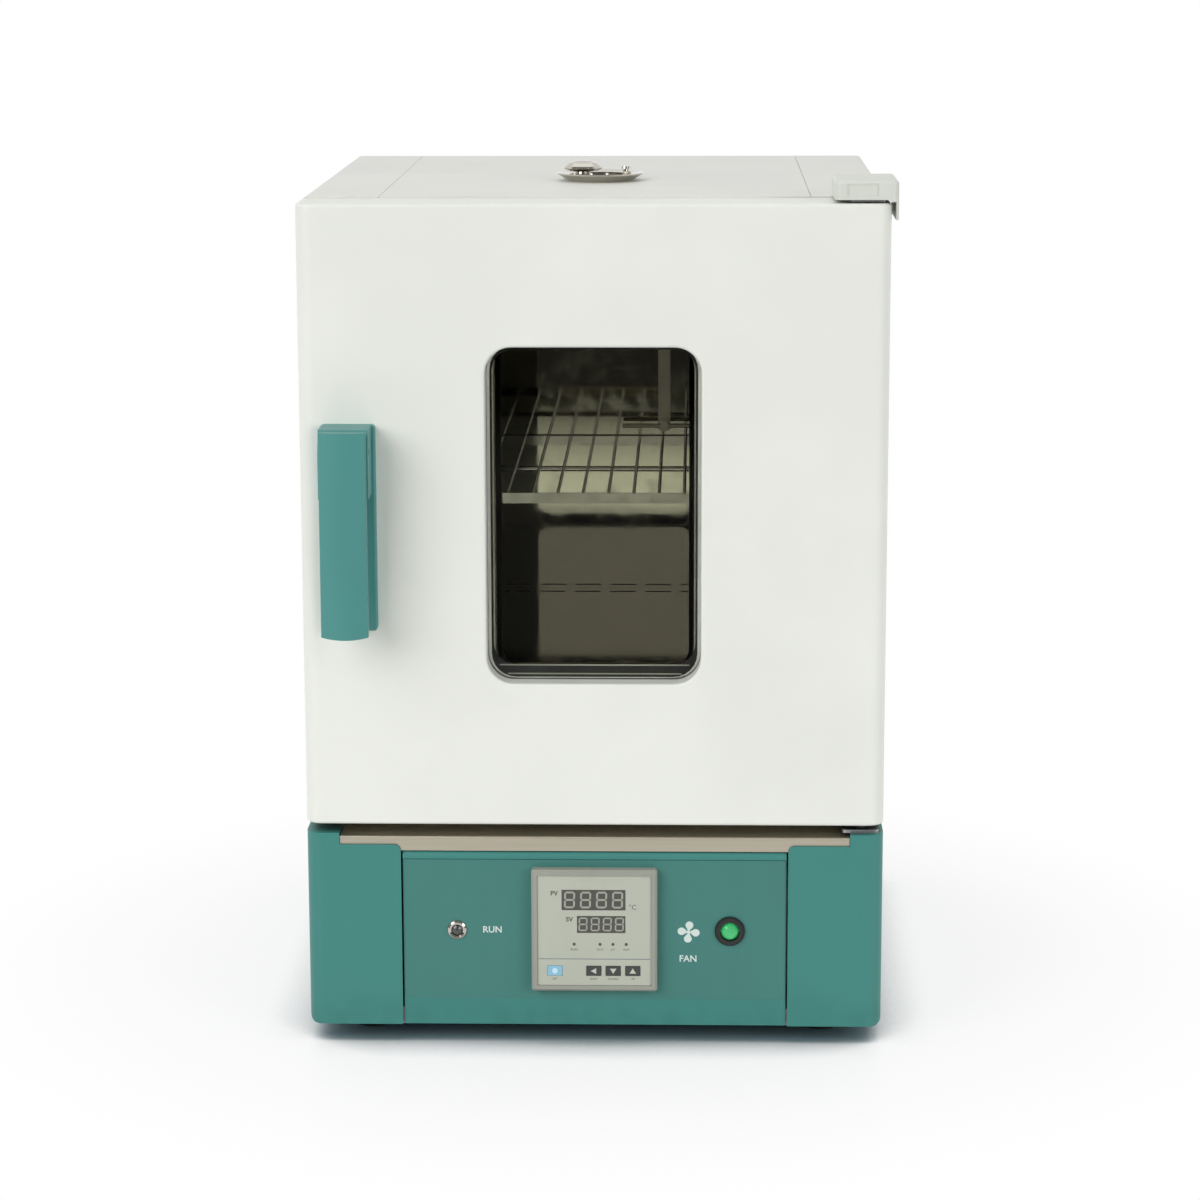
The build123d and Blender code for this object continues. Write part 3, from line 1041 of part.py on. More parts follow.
housing = slab_y(handle_x, plate_y, Z_HANDLE, 3.0)
housing = chamfer(housing.faces().sort_by(Axis.Y)[0].edges(), 1.2)
head = side_profile([(plate_y[0] + 1, z_head), (y_cheek, z_head), (y_cheek, pivot[1]),
                     (y_cheek + HEAD_SLANT, Z_HANDLE[1]), (plate_y[0] + 1, Z_HANDLE[1])], cheek_x)
head -= block(cavity_x, (y_cheek - 1, plate_y[0] - 2), (z_head + HEAD_WALL, Z_HANDLE[1] - HEAD_WALL))
housing += head
housing -= rod_x(grown(cheek_x, 1), pivot[0], pivot[1], PIVOT_R)
housing -= push_hole
keep("handle_housing", housing)
keep("handle_pivot_pin", rod_x(cheek_x, pivot[0], pivot[1], PIVOT_R))

lever_z = grown(Z_HANDLE, -LEVER_END)
half = LEVER_W / 2
side_y = y_crown + LEVER_CROWN
plan = [ThreePointArc((-half, side_y), (0, y_crown), (half, side_y)), Line((half, side_y), (half, y_lever_back)),
        Line((half, y_lever_back), (-half, y_lever_back)), Line((-half, y_lever_back), (-half, side_y))]
lever = Pos(HANDLE_X, 0, lever_z[0]) * extrude(make_face(plan), amount=lever_z[1] - lever_z[0])
lever = fillet(lever.edges().filter_by(Axis.Z).group_by(Axis.Y)[0], 1.5)
bow_r = (half ** 2 + LEVER_BOW ** 2) / (2 * LEVER_BOW)
lower_end = block(grown(about(HANDLE_X, LEVER_W), 1), (y_crown - 1, y_lever_back + 1),
                  (lever_z[0] - 1, lever_z[0] + LEVER_BOW))
lever -= lower_end - rod_y(HANDLE_X, (y_crown - 2, y_lever_back + 2), lever_z[0] + bow_r, bow_r)
POCKETS = 5
pocket_low = lever_z[0] + LEVER_BOW
pocket_h = (lever_z[1] - pocket_low - LEVER_WALL) / POCKETS
lever_in_x = about(HANDLE_X, LEVER_W - 2 * LEVER_WALL)
for i in range(POCKETS):
    z = pocket_low + LEVER_WALL + i * pocket_h
    lever -= block(lever_in_x, (side_y + LEVER_WALL, y_lever_back + 1), (z, z + pocket_h - LEVER_WALL))
LUG_W = 4.0
LUG_X = 5.5
lug_points = [(-14.5, -10.0), (-14.5, 12.0), (0.0, 12.0), (2.6, 8.0), (2.6, 3.6), (4.6, 0.0), (0.0, -5.5)]
for side in (-1, 1):
    lug = side_profile([(pivot[0] + y, pivot[1] + z) for y, z in lug_points],
                       about(HANDLE_X + side * LUG_X, LUG_W))
    lever += lug
lever += rod_x(about(HANDLE_X, 2 * LUG_X), nose[0], nose[1], NOSE_R)
lever -= rod_x(about(HANDLE_X, 4 * LUG_X), pivot[0], pivot[1], PIVOT_R + RUN_FIT)
keep("handle_lever", lever)

push_y = (nose[0] + NOSE_R + SLIP, Y_CABINET - 3.2)
push = rod_y(HANDLE_X, push_y, NOSE_Z, PUSH_R) + rod_y(HANDLE_X, (push_y[0], push_y[0] + 2), NOSE_Z, PUSH_HEAD_R)
keep("push_pin", push)

# Magnetic catch: magnet on the cabinet's frame, thin keeper plate on the door
CATCH_W = 14.0
CATCH_H = 44.0
CATCH_RISE = 80.0         # catch's middle above the handle's lower end
KEEPER_T = 0.8
catch_x = about(HANDLE_X, CATCH_W)
catch_z = about(Z_HANDLE[0] + CATCH_RISE, CATCH_H)
keep("catch_plate", block(catch_x, (Y_DOOR_BACK, Y_DOOR_BACK + KEEPER_T), catch_z))
keep("catch_magnet", block(catch_x, (Y_DOOR_BACK + KEEPER_T + SLIP, Y_CABINET), catch_z))

# Door insulation fills the pan round glazing, hinge bushes and push-off pin
wool_y = (Y_FRONT + SHEET + 0.5, inner_y[0])
wool = block(grown((-pan_in_x, pan_in_x), -SLIP), wool_y, grown(pan_in_z, -SLIP))
wool = chamfer(wool.edges().filter_by(Axis.Z).group_by(Axis.Y)[0], BEND_R)
wool -= window_slab(GLASS_LAP + 2.8, grown(door_y, 1))
wool -= slab_y(grown(inner_win_x, GLASS_LAP + 1), grown(door_y, 1), grown(inner_win_z, GLASS_LAP + 1), INNER_R)
for z in Z_DOOR:
    wool -= rod_z(HINGE_X, HINGE_Y, about(z, 2 * BUSH_L + 4), BUSH_R + 1)
wool -= rod_y(HANDLE_X, grown(door_y, 1), NOSE_Z, PUSH_R + SLIP)
keep("door_insulation", wool)

# Origin: under the middle of the whole oven's box
whole = Compound(list(nodes.values())).bounding_box()
SHIFT = Vector(-whole.center().X, -whole.center().Y, -whole.min.Z)
os.makedirs("parts", exist_ok=True)
for name, shape in nodes.items():
    export_step(Pos(SHIFT) * shape, f"parts/{name}.step")
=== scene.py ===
# %% [markdown]
# # A bench-top laboratory drying oven
# The oven is a white door and cabinet on a green control base. Its shape is already built and
# packed, with every moving part on its own body, so this lesson is about looks: enamel, moulded
# plastic, polished and brushed steel, glass, printed marks, light and camera. We start by loading
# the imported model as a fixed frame. Everything is in metres, +Z up, and the front faces -Y.

# %% Load the frame
import bpy
import bmesh
import json
import math
from mathutils import Matrix, Vector


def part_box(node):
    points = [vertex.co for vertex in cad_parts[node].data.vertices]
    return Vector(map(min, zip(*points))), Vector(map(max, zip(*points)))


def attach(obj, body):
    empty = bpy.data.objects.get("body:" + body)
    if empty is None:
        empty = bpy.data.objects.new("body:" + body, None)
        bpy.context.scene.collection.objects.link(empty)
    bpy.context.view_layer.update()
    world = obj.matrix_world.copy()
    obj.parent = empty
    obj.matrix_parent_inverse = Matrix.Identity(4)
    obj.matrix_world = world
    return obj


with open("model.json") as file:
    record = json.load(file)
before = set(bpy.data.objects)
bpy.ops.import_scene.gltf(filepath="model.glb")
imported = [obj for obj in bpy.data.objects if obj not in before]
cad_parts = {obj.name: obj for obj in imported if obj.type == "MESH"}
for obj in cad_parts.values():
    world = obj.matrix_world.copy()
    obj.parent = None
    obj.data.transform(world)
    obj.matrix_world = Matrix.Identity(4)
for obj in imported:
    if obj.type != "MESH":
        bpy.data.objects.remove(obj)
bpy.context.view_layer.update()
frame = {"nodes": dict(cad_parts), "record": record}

MM = 0.001

# %% [markdown]
# ## Places on the oven
# Places are read from the frame, never typed in twice. A node's box gives its lowest and highest
# corner, and most pieces below sit on a face or at the middle of such a box.

# %% Places read from the frame
def low(node):
    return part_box(node)[0]


def high(node):
    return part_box(node)[1]


def middle(node):
    return (low(node) + high(node)) / 2


DOOR_FRONT = low("door_outer_panel").y
MID_X = middle("door_outer_panel").x
PANEL_FACE = low("panel_overlay").y
FACE_PLATE = low("controller_face").y
DISPLAY_FACE = low("controller_displays").y
CONTROLS_Z = middle("fan_switch_housing").z
FACE_MID = middle("controller_bezel").z
WINDOW_MID = middle("window_seal").z
print("door front at", round(DOOR_FRONT, 4), "controls at height", round(CONTROLS_Z, 4))

# %% [markdown]
# ## The camera
# A product photograph is usually taken with a long lens, from a little above the object. The
# angles here put the oven's edges where the photograph has them: the lens looks down by about
# eleven degrees, and slightly to the left. A long lens far away keeps upright edges nearly
# parallel; a short one close by would make the base look pinched.

# %% Camera
SENSOR = 36.0                    # millimetres
LENS = 103.0
CAMERA_RIGHT = 0.0751            # of the oven's middle
CAMERA_AHEAD = 2.525             # of the door's front
CAMERA_UP = 0.8559
LOOK_DOWN = 0.1985               # radians
LOOK_LEFT = 0.0278
ROLL = -0.0027
NEAREST, FARTHEST = 0.05, 60     # that the camera sees

camera_data = bpy.data.cameras.new("portrait")
camera_data.sensor_width = SENSOR
camera_data.lens = LENS
camera_data.clip_start, camera_data.clip_end = NEAREST, FARTHEST
camera = bpy.data.objects.new("portrait", camera_data)
bpy.context.collection.objects.link(camera)
aim = (Matrix.Rotation(LOOK_LEFT, 4, "Z") @ Matrix.Rotation(math.pi / 2 - LOOK_DOWN, 4, "X")
       @ Matrix.Rotation(ROLL, 4, "Z"))
camera.matrix_world = Matrix.Translation(
    (MID_X + CAMERA_RIGHT, DOOR_FRONT - CAMERA_AHEAD, CAMERA_UP)) @ aim
bpy.context.scene.camera = camera
print("camera at", tuple(round(v, 3) for v in camera.location))

# %% [markdown]
# ## Shader maths as plain expressions
# A material is a graph of nodes, and wiring one by hand hides the idea behind it. The small class
# below wraps one output socket, so that `1 - mask * 0.5` adds the Math nodes by itself.

# %% A value in a graph
class Value:
    """One output socket, on which arithmetic adds Math nodes."""

    def __init__(self, graph, socket):
        self.graph, self.socket = graph, socket

    def maths(self, operation, first, second):
        return self.graph.node("ShaderNodeMath", {"operation": operation}, {0: first, 1: second})

    def __add__(self, other):
        return self.maths("ADD", self, other)

    def __radd__(self, other):
        return self.maths("ADD", other, self)

    def __sub__(self, other):
        return self.maths("SUBTRACT", self, other)

    def __rsub__(self, other):
        return self.maths("SUBTRACT", other, self)

    def __mul__(self, other):
        return self.maths("MULTIPLY", self, other)

    def __rmul__(self, other):
        return self.maths("MULTIPLY", other, self)

    def __truediv__(self, other):
        return self.maths("DIVIDE", self, other)

    def __rtruediv__(self, other):
        return self.maths("DIVIDE", other, self)

    def at_most(self, limit):
        return self.maths("MINIMUM", self, limit)

    def between(self, start, end):
        """0 below start, 1 above end, smooth between them."""
        return self.graph.node("ShaderNodeMapRange", {"interpolation_type": "SMOOTHSTEP"},
                               {"Value": self, "From Min": start, "From Max": end})


# %% [markdown]
# Every other node comes from one method, which takes the node's type, its settings and what goes
# into its sockets. Colours must not go through Math nodes, which would turn them grey, so they
# are mixed with `blend`. The room is such a graph, and so is every finish.

# %% Any graph of nodes
class Graph:
    """A node tree whose nodes all come from one method."""

    def __init__(self, tree):
        self.tree = tree

    def node(self, kind, settings=None, inputs=None, out=0):
        made = self.tree.nodes.new(kind)
        for key, setting in (settings or {}).items():
            setattr(made, key, setting)
        for key, value in (inputs or {}).items():
            self.plug(made.inputs[key], value)
        return Value(self, made.outputs[out])

    def plug(self, socket, value):
        if isinstance(value, Value):
            self.tree.links.new(value.socket, socket)
        elif isinstance(value, tuple) and socket.type == "RGBA":
            socket.default_value = (*value, 1)
        else:
            socket.default_value = value

    def blend(self, first, second, amount):
        return self.node("ShaderNodeMix", {"data_type": "RGBA"}, {0: amount, 6: first, 7: second}, out=2)

    def axis_of(self, vector, axis):
        return self.node("ShaderNodeSeparateXYZ", None, {"Vector": vector}, out=axis)

    def seen_by(self, *kinds):
        """1 on these kinds of ray and 0 on all others."""
        return sum(self.node("ShaderNodeLightPath", out=f"Is {kind} Ray") for kind in kinds).at_most(1.0)


# %% [markdown]
# A finish is a graph with one surface shader. What its patterns need is always the same: where a
# point is on the piece, noise at that place, the light that gets into a gap, and a bump. A texture
# picture would need all pieces unwrapped; patterns in the piece's own metres need nothing.

# %% One surface finish
FINISHES = {}


class Finish(Graph):
    """A material with one surface shader, kept in FINISHES under its name."""

    def __init__(self, name):
        material = bpy.data.materials.new(name)
        material.use_nodes = True
        super().__init__(material.node_tree)
        self.shader = self.tree.nodes["Principled BSDF"]
        FINISHES[name] = material

    def set(self, **inputs):
        """Values or links for the surface shader, by name with _ for a space."""
        for key, value in inputs.items():
            self.plug(self.shader.inputs[key.replace("_", " ")], value)

    def place(self):
        """Where a point is on the piece, in metres."""
        return self.node("ShaderNodeTexCoord", out="Object")

    def stretched(self, vector, by):
        return self.node("ShaderNodeVectorMath", {"operation": "MULTIPLY"}, {0: vector, 1: by})

    def noise(self, scale, detail=2.0, vector=None):
        return self.node("ShaderNodeTexNoise", None, {
            "Vector": vector or self.place(), "Scale": scale, "Detail": detail})

    def open_sky(self, reach):
        """How much of the surroundings a point sees: 1 in the open, 0 deep in a gap."""
        return self.node("ShaderNodeAmbientOcclusion", {"samples": 8}, {"Distance": reach}, out="AO")

    def bump(self, height, distance, strength):
        return self.node("ShaderNodeBump", None, {
            "Height": height, "Distance": distance, "Strength": strength})


# %% [markdown]
# ## Colours
# Colours are written as they would be read off a photograph, from 0 to 255, and turned into the
# linear numbers that a shader wants. Metals, blacks, rubber, wool, glass and the room are written
# in linear numbers straight away, as the share of light that they send back or let through.

# %% From a photograph's colour to a shader's
def rgb(red, green, blue):
    def linear(v):
        v /= 255
        return v / 12.92 if v <= 0.04045 else ((v + 0.055) / 1.055) ** 2.4
    return (linear(red), linear(green), linear(blue))


def shade(colour, by):
    return tuple(min(1.0, max(0.0, c * by)) for c in colour)


print("mid grey, linear:", tuple(round(c, 3) for c in rgb(128, 128, 128)))

# %% [markdown]
# ## Powder coat
# Door, cabinet and base are steel sheet with baked powder paint. A clean colour would look like
# plain plastic, because baked powder never lies quite flat: it has a fine orange peel about a
# millimetre across, and its sheen wanders a little over a panel. Noise gives both at their true
# size. The green base also gathers dust round its foot, and shade is painted into its narrow
# gaps, which are darkened in the colour itself.

# %% Powder-coated sheet
DUSTY_FOOT = (0.012, 0.045)      # heights above the table between which the dust thins out
# Painted shade: within GAP_REACH of other surfaces a gap's colour is darkened towards GAP_SHADE of it.
GAP_REACH = 0.02                 # surfaces this near darken a gap
GAP_SHADE = 0.12                 # of the colour that is left deep in it


def powder_coat(name, colour, roughness=0.38, dust_and_gap_shade=0.0):
    f = Finish(name)
    peel = f.noise(900.0)
    slow = f.noise(7.0, 3.0)
    fine = f.noise(60.0, 4.0)
    tint = f.blend(shade(colour, 0.975), shade(colour, 1.015), slow.between(0.35, 0.65))
    if dust_and_gap_shade:
        foot = (1 - f.axis_of(f.place(), "Z").between(*DUSTY_FOOT)) * fine.between(0.35, 0.7)
        tint = f.blend(tint, shade(colour, 0.75), foot * dust_and_gap_shade)
        # Painted shade: the colour darkens in narrow gaps, where little of the surroundings is seen.
        tint = f.blend(shade(colour, GAP_SHADE), tint, f.open_sky(GAP_REACH).between(0.05, 0.55))
    f.set(Base_Color=tint, Roughness=roughness + 0.05 * fine + 0.04 * slow,
          Normal=f.bump(peel, 0.00004, 0.6))


powder_coat("cream_enamel", rgb(234, 236, 229))
powder_coat("pale_enamel", rgb(228, 229, 222), 0.42)
powder_coat("green_enamel", rgb(58, 131, 124), 0.4, dust_and_gap_shade=0.5)
print("enamels:", list(FINISHES))

# %% [markdown]
# ## Moulded plastic
# Handle, hinge cover, switch and instrument bezel are moulded. Their surface copies a spark-eroded
# mould: a fine, even grain that dulls the shine, with a faint flow of tone along the moulding. A
# lower sheen alone would look like paint. Printed film and ink have the same grain, only stronger
# or weaker, so they are made here too.

# %% Moulded plastic
def moulded(name, colour, roughness=0.45, grain=1.0):
    f = Finish(name)
    fine = f.noise(2600.0)
    flow = f.noise(18.0, 3.0, f.stretched(f.place(), (1.0, 1.0, 0.25)))
    f.set(Base_Color=f.blend(shade(colour, 0.96), shade(colour, 1.03), flow.between(0.3, 0.7)),
          Roughness=roughness + 0.06 * flow + 0.05 * fine,
          Normal=f.bump(fine, 0.000025 * grain, 0.5))


moulded("green_film", rgb(63, 125, 118), 0.42, grain=1.6)
moulded("face_film", rgb(183, 187, 173), 0.4, grain=0.6)
moulded("green_plastic", rgb(75, 142, 138), 0.36)
moulded("pale_plastic", rgb(216, 219, 210), 0.4)
moulded("grey_plastic", rgb(154, 156, 146))
moulded("blue_plastic", rgb(140, 190, 215), 0.35)
moulded("dark_plastic", rgb(62, 64, 62), 0.4)
moulded("black_plastic", (0.012, 0.013, 0.013), 0.4)
print("finishes so far:", len(FINISHES))

# %% [markdown]
# ## Brushed metal
# The frame round the chamber, the trim over the panel and the door's inner sheet are brushed
# steel, with long fine scratches that all run one way. An anisotropic shader could stretch the
# highlights alone. Noise that is stretched along the grain shows the scratches close by as well.

# %% Brushed metal
ALONG_GRAIN, ACROSS_GRAIN = 14.0, 1400.0     # scratches for each metre


def brushed(name, colour, grain, roughness=0.3):
    f = Finish(name)
    squeeze = tuple(ALONG_GRAIN if axis == grain else ACROSS_GRAIN for axis in "XYZ")
    scratch = f.noise(1.0, 3.0, f.stretched(f.place(), squeeze))
    cloud = f.noise(14.0)
    f.set(Metallic=1.0, Base_Color=f.blend(shade(colour, 0.86), shade(colour, 1.06), scratch),
          Roughness=roughness + 0.16 * scratch + 0.05 * cloud,
          Normal=f.bump(scratch, 0.000012, 0.5))


brushed("stainless", (0.62, 0.57, 0.46), "X")
brushed("aluminium", (0.72, 0.72, 0.72), "Z", 0.35)
brushed("heater_steel", (0.30, 0.26, 0.22), "Y", 0.45)
print("finishes so far:", len(FINISHES))

# %% [markdown]
# ## Polished metal
# The chamber is lined with polished steel, which is nearly a mirror. The shelf, the vent and the
# small bright fittings are chrome plated. A perfect mirror looks false, so a slow waviness bends
# what the metal shows, and a faint smear dulls it here and there.

# %% Polished metal
def polished(name, colour, roughness, wave):
    f = Finish(name)
    slow = f.noise(11.0)
    smear = f.noise(70.0, 4.0)
    f.set(Metallic=1.0, Base_Color=f.blend(shade(colour, 0.95), shade(colour, 1.03), smear),
          Roughness=roughness + 0.05 * smear.between(0.4, 0.75),
          Normal=f.bump(slow, 0.0006 * wave, 0.35))


polished("mirror_steel", (0.50, 0.48, 0.41), 0.03, wave=0.12)
polished("chrome", (0.53, 0.51, 0.46), 0.1, wave=0.2)
print("finishes so far:", len(FINISHES))

# %% [markdown]
# ## Zinc-coated sheet
# Screws, hinge brackets and the base's inner sheets are zinc coated: dull, with a broken-up flower
# of crystals. Shade is painted into their narrow gaps, where the colour goes nearly black. The cells
# of a Voronoi texture are that flower, each with a tone of its own; plain noise would blur their
# edges.

# %% Zinc-coated sheet
def zinc_sheet(name, colour):
    f = Finish(name)
    flower = f.node("ShaderNodeTexVoronoi", {"feature": "F1"}, {"Vector": f.place(), "Scale": 160.0},
                    out="Color")
    tone = f.axis_of(flower, "X")
    tint = f.blend(shade(colour, 0.82), shade(colour, 1.05), tone)
    # Painted shade: the colour goes nearly black in narrow gaps.
    f.set(Metallic=1.0, Roughness=0.45 + 0.14 * tone,
          Base_Color=f.blend(shade(colour, 0.06), tint, f.open_sky(GAP_REACH).between(0.1, 0.6)))


zinc_sheet("galvanised", (0.56, 0.57, 0.58))
print("finishes so far:", len(FINISHES))

# %% [markdown]
# ## Rubber and wool
# Feet and seals are matte, soft-looking rubber that always carries some dust. Mineral wool only
# shows if the oven is taken apart, but it gets its fibres all the same: noise that is squeezed
# across them, as bump and as tone.

# %% Rubber and mineral wool
def rubber(name, colour):
    f = Finish(name)
    dust = f.noise(45.0, 5.0)
    f.set(Base_Color=f.blend(colour, shade(colour, 1.6), dust.between(0.45, 0.8)),
          Roughness=0.72 + 0.12 * dust, Normal=f.bump(f.noise(1500.0), 0.00004, 0.5))


def wool(name, colour):
    f = Finish(name)
    fibre = f.noise(220.0, 6.0, f.stretched(f.place(), (1.0, 3.0, 6.0)))
    f.set(Base_Color=f.blend(shade(colour, 0.7), shade(colour, 1.1), fibre), Roughness=0.95,
          Normal=f.bump(fibre, 0.0015, 0.8))


rubber("black_rubber", (0.02, 0.02, 0.02))
rubber("grey_silicone", (0.30, 0.28, 0.25))
wool("mineral_wool", (0.66, 0.60, 0.42))
print("finishes so far:", len(FINISHES))

# %% [markdown]
# ## Glass and tinted covers
# The window has two clear panes. In the photograph they hardly mirror, so their index of
# refraction is written lower than that of real glass, and the dark chamber stays dark. Displays
# and lamps have tinted covers with a clear coat. The fan switch's lens glows a little by itself,
# which is simpler than a lamp inside it and exports as well.

# %% Window glass and tinted covers
PANE_IOR = 1.15                  # 1.5 in real glass


def clear_glass(name, tint):
    f = Finish(name)
    breath = f.noise(9.0, 3.0)
    f.set(Base_Color=tint, Transmission_Weight=1.0, IOR=PANE_IOR,
          Roughness=0.012 * breath.between(0.5, 0.8))


def tinted_cover(name, colour, roughness, lit=0.0):
    f = Finish(name)
    smudge = f.noise(120.0, 4.0)
    f.set(Base_Color=f.blend(colour, shade(colour, 1.25), smudge.between(0.4, 0.8)),
          Roughness=roughness + 0.1 * smudge, Coat_Weight=0.5)
    if lit:
        f.set(Emission_Color=colour, Emission_Strength=lit)


clear_glass("tempered_glass", (0.97, 0.98, 0.95))
tinted_cover("display_lens", rgb(62, 62, 56), 0.16)
tinted_cover("green_lens", rgb(52, 170, 98), 0.2, lit=0.25)
tinted_cover("lamp_red", (0.05, 0.055, 0.05), 0.1)
print("finishes so far:", len(FINISHES))

# %% [markdown]
# ## One finish per node
# The record names a material slot for every node, and the finishes have the same names, so a
# loop can dress the whole oven.

# %% Dress the nodes
def paint(piece, finish):
    """Give a piece one finish, in place of whatever it had."""
    piece.data.materials.clear()
    piece.data.materials.append(FINISHES[finish])


for row in frame["record"]["subparts"]:
    paint(frame["nodes"][row["node"]], row["material_slot"])

# %% [markdown]
# ## Ink
# The printing on the panel and on the instrument is a film of ink a few hundredths of a
# millimetre thick. It could be painted into the material, but flat little meshes just proud of
# the surface stay sharp from any distance and are easy to move.

# %% Ink
INK_T = 0.03 * MM
INKS = {
    "ink_white": rgb(214, 226, 220),
    "ink_dark": rgb(70, 72, 66),
    "ink_pale": rgb(196, 198, 184),
    "ink_dim": rgb(162, 164, 150),
    "ink_glow": rgb(198, 230, 246),
    "ink_blue": rgb(92, 106, 122),
}
for name, colour in INKS.items():
    moulded(name, colour, 0.5, grain=0.3)
print("inks:", list(INKS))

# %% [markdown]
# Every mark is drawn on an upright plane that faces the viewer, in millimetres from its own
# middle. A new piece has to say which finish it wears and which body of the oven carries it.

# %% New pieces and flat marks
def add_piece(name, mesh, place, finish, body):
    piece = bpy.data.objects.new(name, mesh)
    piece.matrix_world = place
    bpy.context.collection.objects.link(piece)
    paint(piece, finish)
    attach(piece, body)


def mark(name, outlines, at, finish, body, thick=INK_T):
    """A thin upright mark made of closed outlines, its back on the point given."""
    bm = bmesh.new()
    for outline in outlines:
        bm.faces.new([bm.verts.new((x * MM, 0, z * MM)) for x, z in outline])
    raised = bmesh.ops.extrude_face_region(bm, geom=list(bm.faces))
    moved = [v for v in raised["geom"] if isinstance(v, bmesh.types.BMVert)]
    bmesh.ops.translate(bm, verts=moved, vec=(0, -thick, 0))
    bmesh.ops.recalc_face_normals(bm, faces=bm.faces)
    mesh = bpy.data.meshes.new(name)
    bm.to_mesh(mesh)
    bm.free()
    add_piece(name, mesh, Matrix.Translation(at), finish, body)


def word(name, text, size, at, finish, bold=0.0):
    """A short printed word on the cabinet, in the plain built-in face."""
    curve = bpy.data.curves.new(name, "FONT")
    curve.body, curve.size = text, size * MM
    curve.align_x, curve.align_y = "CENTER", "CENTER"
    curve.extrude = INK_T / 2
    curve.offset = bold * MM
    curve.resolution_u = 3
    drawn = bpy.data.objects.new(name, curve)
    mesh = bpy.data.meshes.new_from_object(drawn)
    bpy.data.objects.remove(drawn)
    upright = Matrix.Rotation(math.pi / 2, 4, "X")
    place = Matrix.Translation(Vector(at) - Vector((0, INK_T / 2, 0))) @ upright
    add_piece(name, mesh, place, finish, "cabinet")


# %% [markdown]
# ## Marks on the control panel
# Two short white words and a fan sign are silk-screened on the green film: one word beside the
# run lamp, the other under the sign, next to the fan's switch.

# %% Panel words
RUN_WORD = (-78.3, 0.0)          # from the oven's middle and the row of controls
FAN_SIGN = (72.0, -1.0)
FAN_WORD = (71.6, -22.4)
PANEL_LETTER, BOLD = 7.2, 0.12   # millimetres


def on_panel(x, z):
    return (MID_X + x * MM, PANEL_FACE, CONTROLS_Z + z * MM)


word("run_word", "RUN", PANEL_LETTER, on_panel(*RUN_WORD), "ink_white", BOLD)
word("fan_word", "FAN", PANEL_LETTER, on_panel(*FAN_WORD), "ink_white", BOLD)
print("panel words at height", round(on_panel(*RUN_WORD)[2], 4), round(on_panel(*FAN_WORD)[2], 4))

# %% [markdown]
# The sign is four round petals and a hub. Drawn freely, the petals would never match, so there is
# one petal, and it is turned in quarters. The petals end just off the hub, because flat pieces
# that overlap on one plane show as speckles.

# %% Fan sign
LOBE_R, LOBE_ASIDE, LOBE_OUT = 3.0, 0.6, 5.4     # radius and place of a petal's round lobe
NECK_HALF, NECK_OUT = 0.9, 1.5                   # where its neck ends, just off the hub
HUB_R = 1.45


def arc_points(r, count, start, end, x=0.0, z=0.0):
    """Points on an arc from one angle to another, in degrees."""
    angles = [math.radians(start + (end - start) * i / (count - 1)) for i in range(count)]
    return [(x + r * math.cos(a), z + r * math.sin(a)) for a in angles]


def disc_points(r, sides):
    return arc_points(r, sides + 1, 0.0, 360.0)[:-1]


def petal(angle):
    """One petal of the sign: a round lobe on a short neck."""
    lobe = arc_points(LOBE_R, 19, -50, 230, LOBE_ASIDE, LOBE_OUT)
    c, s = math.cos(angle), math.sin(angle)
    return [(x * c - z * s, x * s + z * c)
            for x, z in lobe + [(-NECK_HALF, NECK_OUT), (NECK_HALF, NECK_OUT)]]


PETALS = [petal(math.pi / 2 * i) for i in range(4)]
mark("fan_sign", PETALS + [disc_points(HUB_R, 16)], on_panel(*FAN_SIGN), "ink_white", "cabinet")
print("fan sign of", len(PETALS), "petals")

# %% [markdown]
# ## The controller's digits
# The instrument is switched off, so its digits show as pale grey bars behind dark windows. A
# typeface has no such figures, so each digit is drawn as seven bars with pointed ends.

# %% Seven-bar digits
DIGITS = 4
LEAN = 0.03                      # sideways for each step up
ACROSS_TIP, FOOT_TIP, FOOT, HEAD_TIP = 0.7, 0.2, 0.7, 0.5     # where bars end, in bar widths


def digit(x, wide, tall, bar):
    """Outlines of an unlit figure eight at x."""
    half_w, half_t, half_b = wide / 2, tall / 2, bar / 2
    tip, end = half_w - bar * ACROSS_TIP, half_w - bar
    across = [(-tip, 0), (-end, half_b), (end, half_b), (tip, 0), (end, -half_b), (-end, -half_b)]
    foot, head = bar * FOOT, half_t - bar
    upright = [(0, bar * FOOT_TIP), (half_b, foot), (half_b, head), (0, half_t - bar * HEAD_TIP),
               (-half_b, head), (-half_b, foot)]
    bars = [[(px, pz + rise) for px, pz in across] for rise in (half_t - half_b, 0, half_b - half_t)]
    for side in (-1, 1):
        for up in (-1, 1):
            bars.append([(px + side * (half_w - half_b), pz * up) for px, pz in upright])
    return [[(x + px + LEAN * pz, pz) for px, pz in outline] for outline in bars]


def display_digits(name, x_limits, z_limits, wide, tall, bar):
    """A row of digits in a window, whose limits are taken from the instrument's middle."""
    left, right = x_limits
    pitch = (right - left) / DIGITS
    outlines = []
    for i in range(DIGITS):
        outlines += digit((i - (DIGITS - 1) / 2) * pitch, wide, tall, bar)
    at = (MID_X + (left + right) / 2 * MM, DISPLAY_FACE, FACE_MID + sum(z_limits) / 2 * MM)
    mark(name, outlines, at, "ink_dim", "cabinet")


display_digits("upper_digits", (-24.9, 23.9), (16.2, 32.4), wide=8.4, tall=13.2, bar=1.45)
display_digits("lower_digits", (-13.2, 23.8), (-1.8, 11.8), wide=6.8, tall=10.8, bar=1.1)
print("digits", 2 * DIGITS)

# %% [markdown]
# ## Print on the controller's face
# Small dark words stand beside the displays and under the status lamps, and a thin blue rule
# parts the keys from the rest.

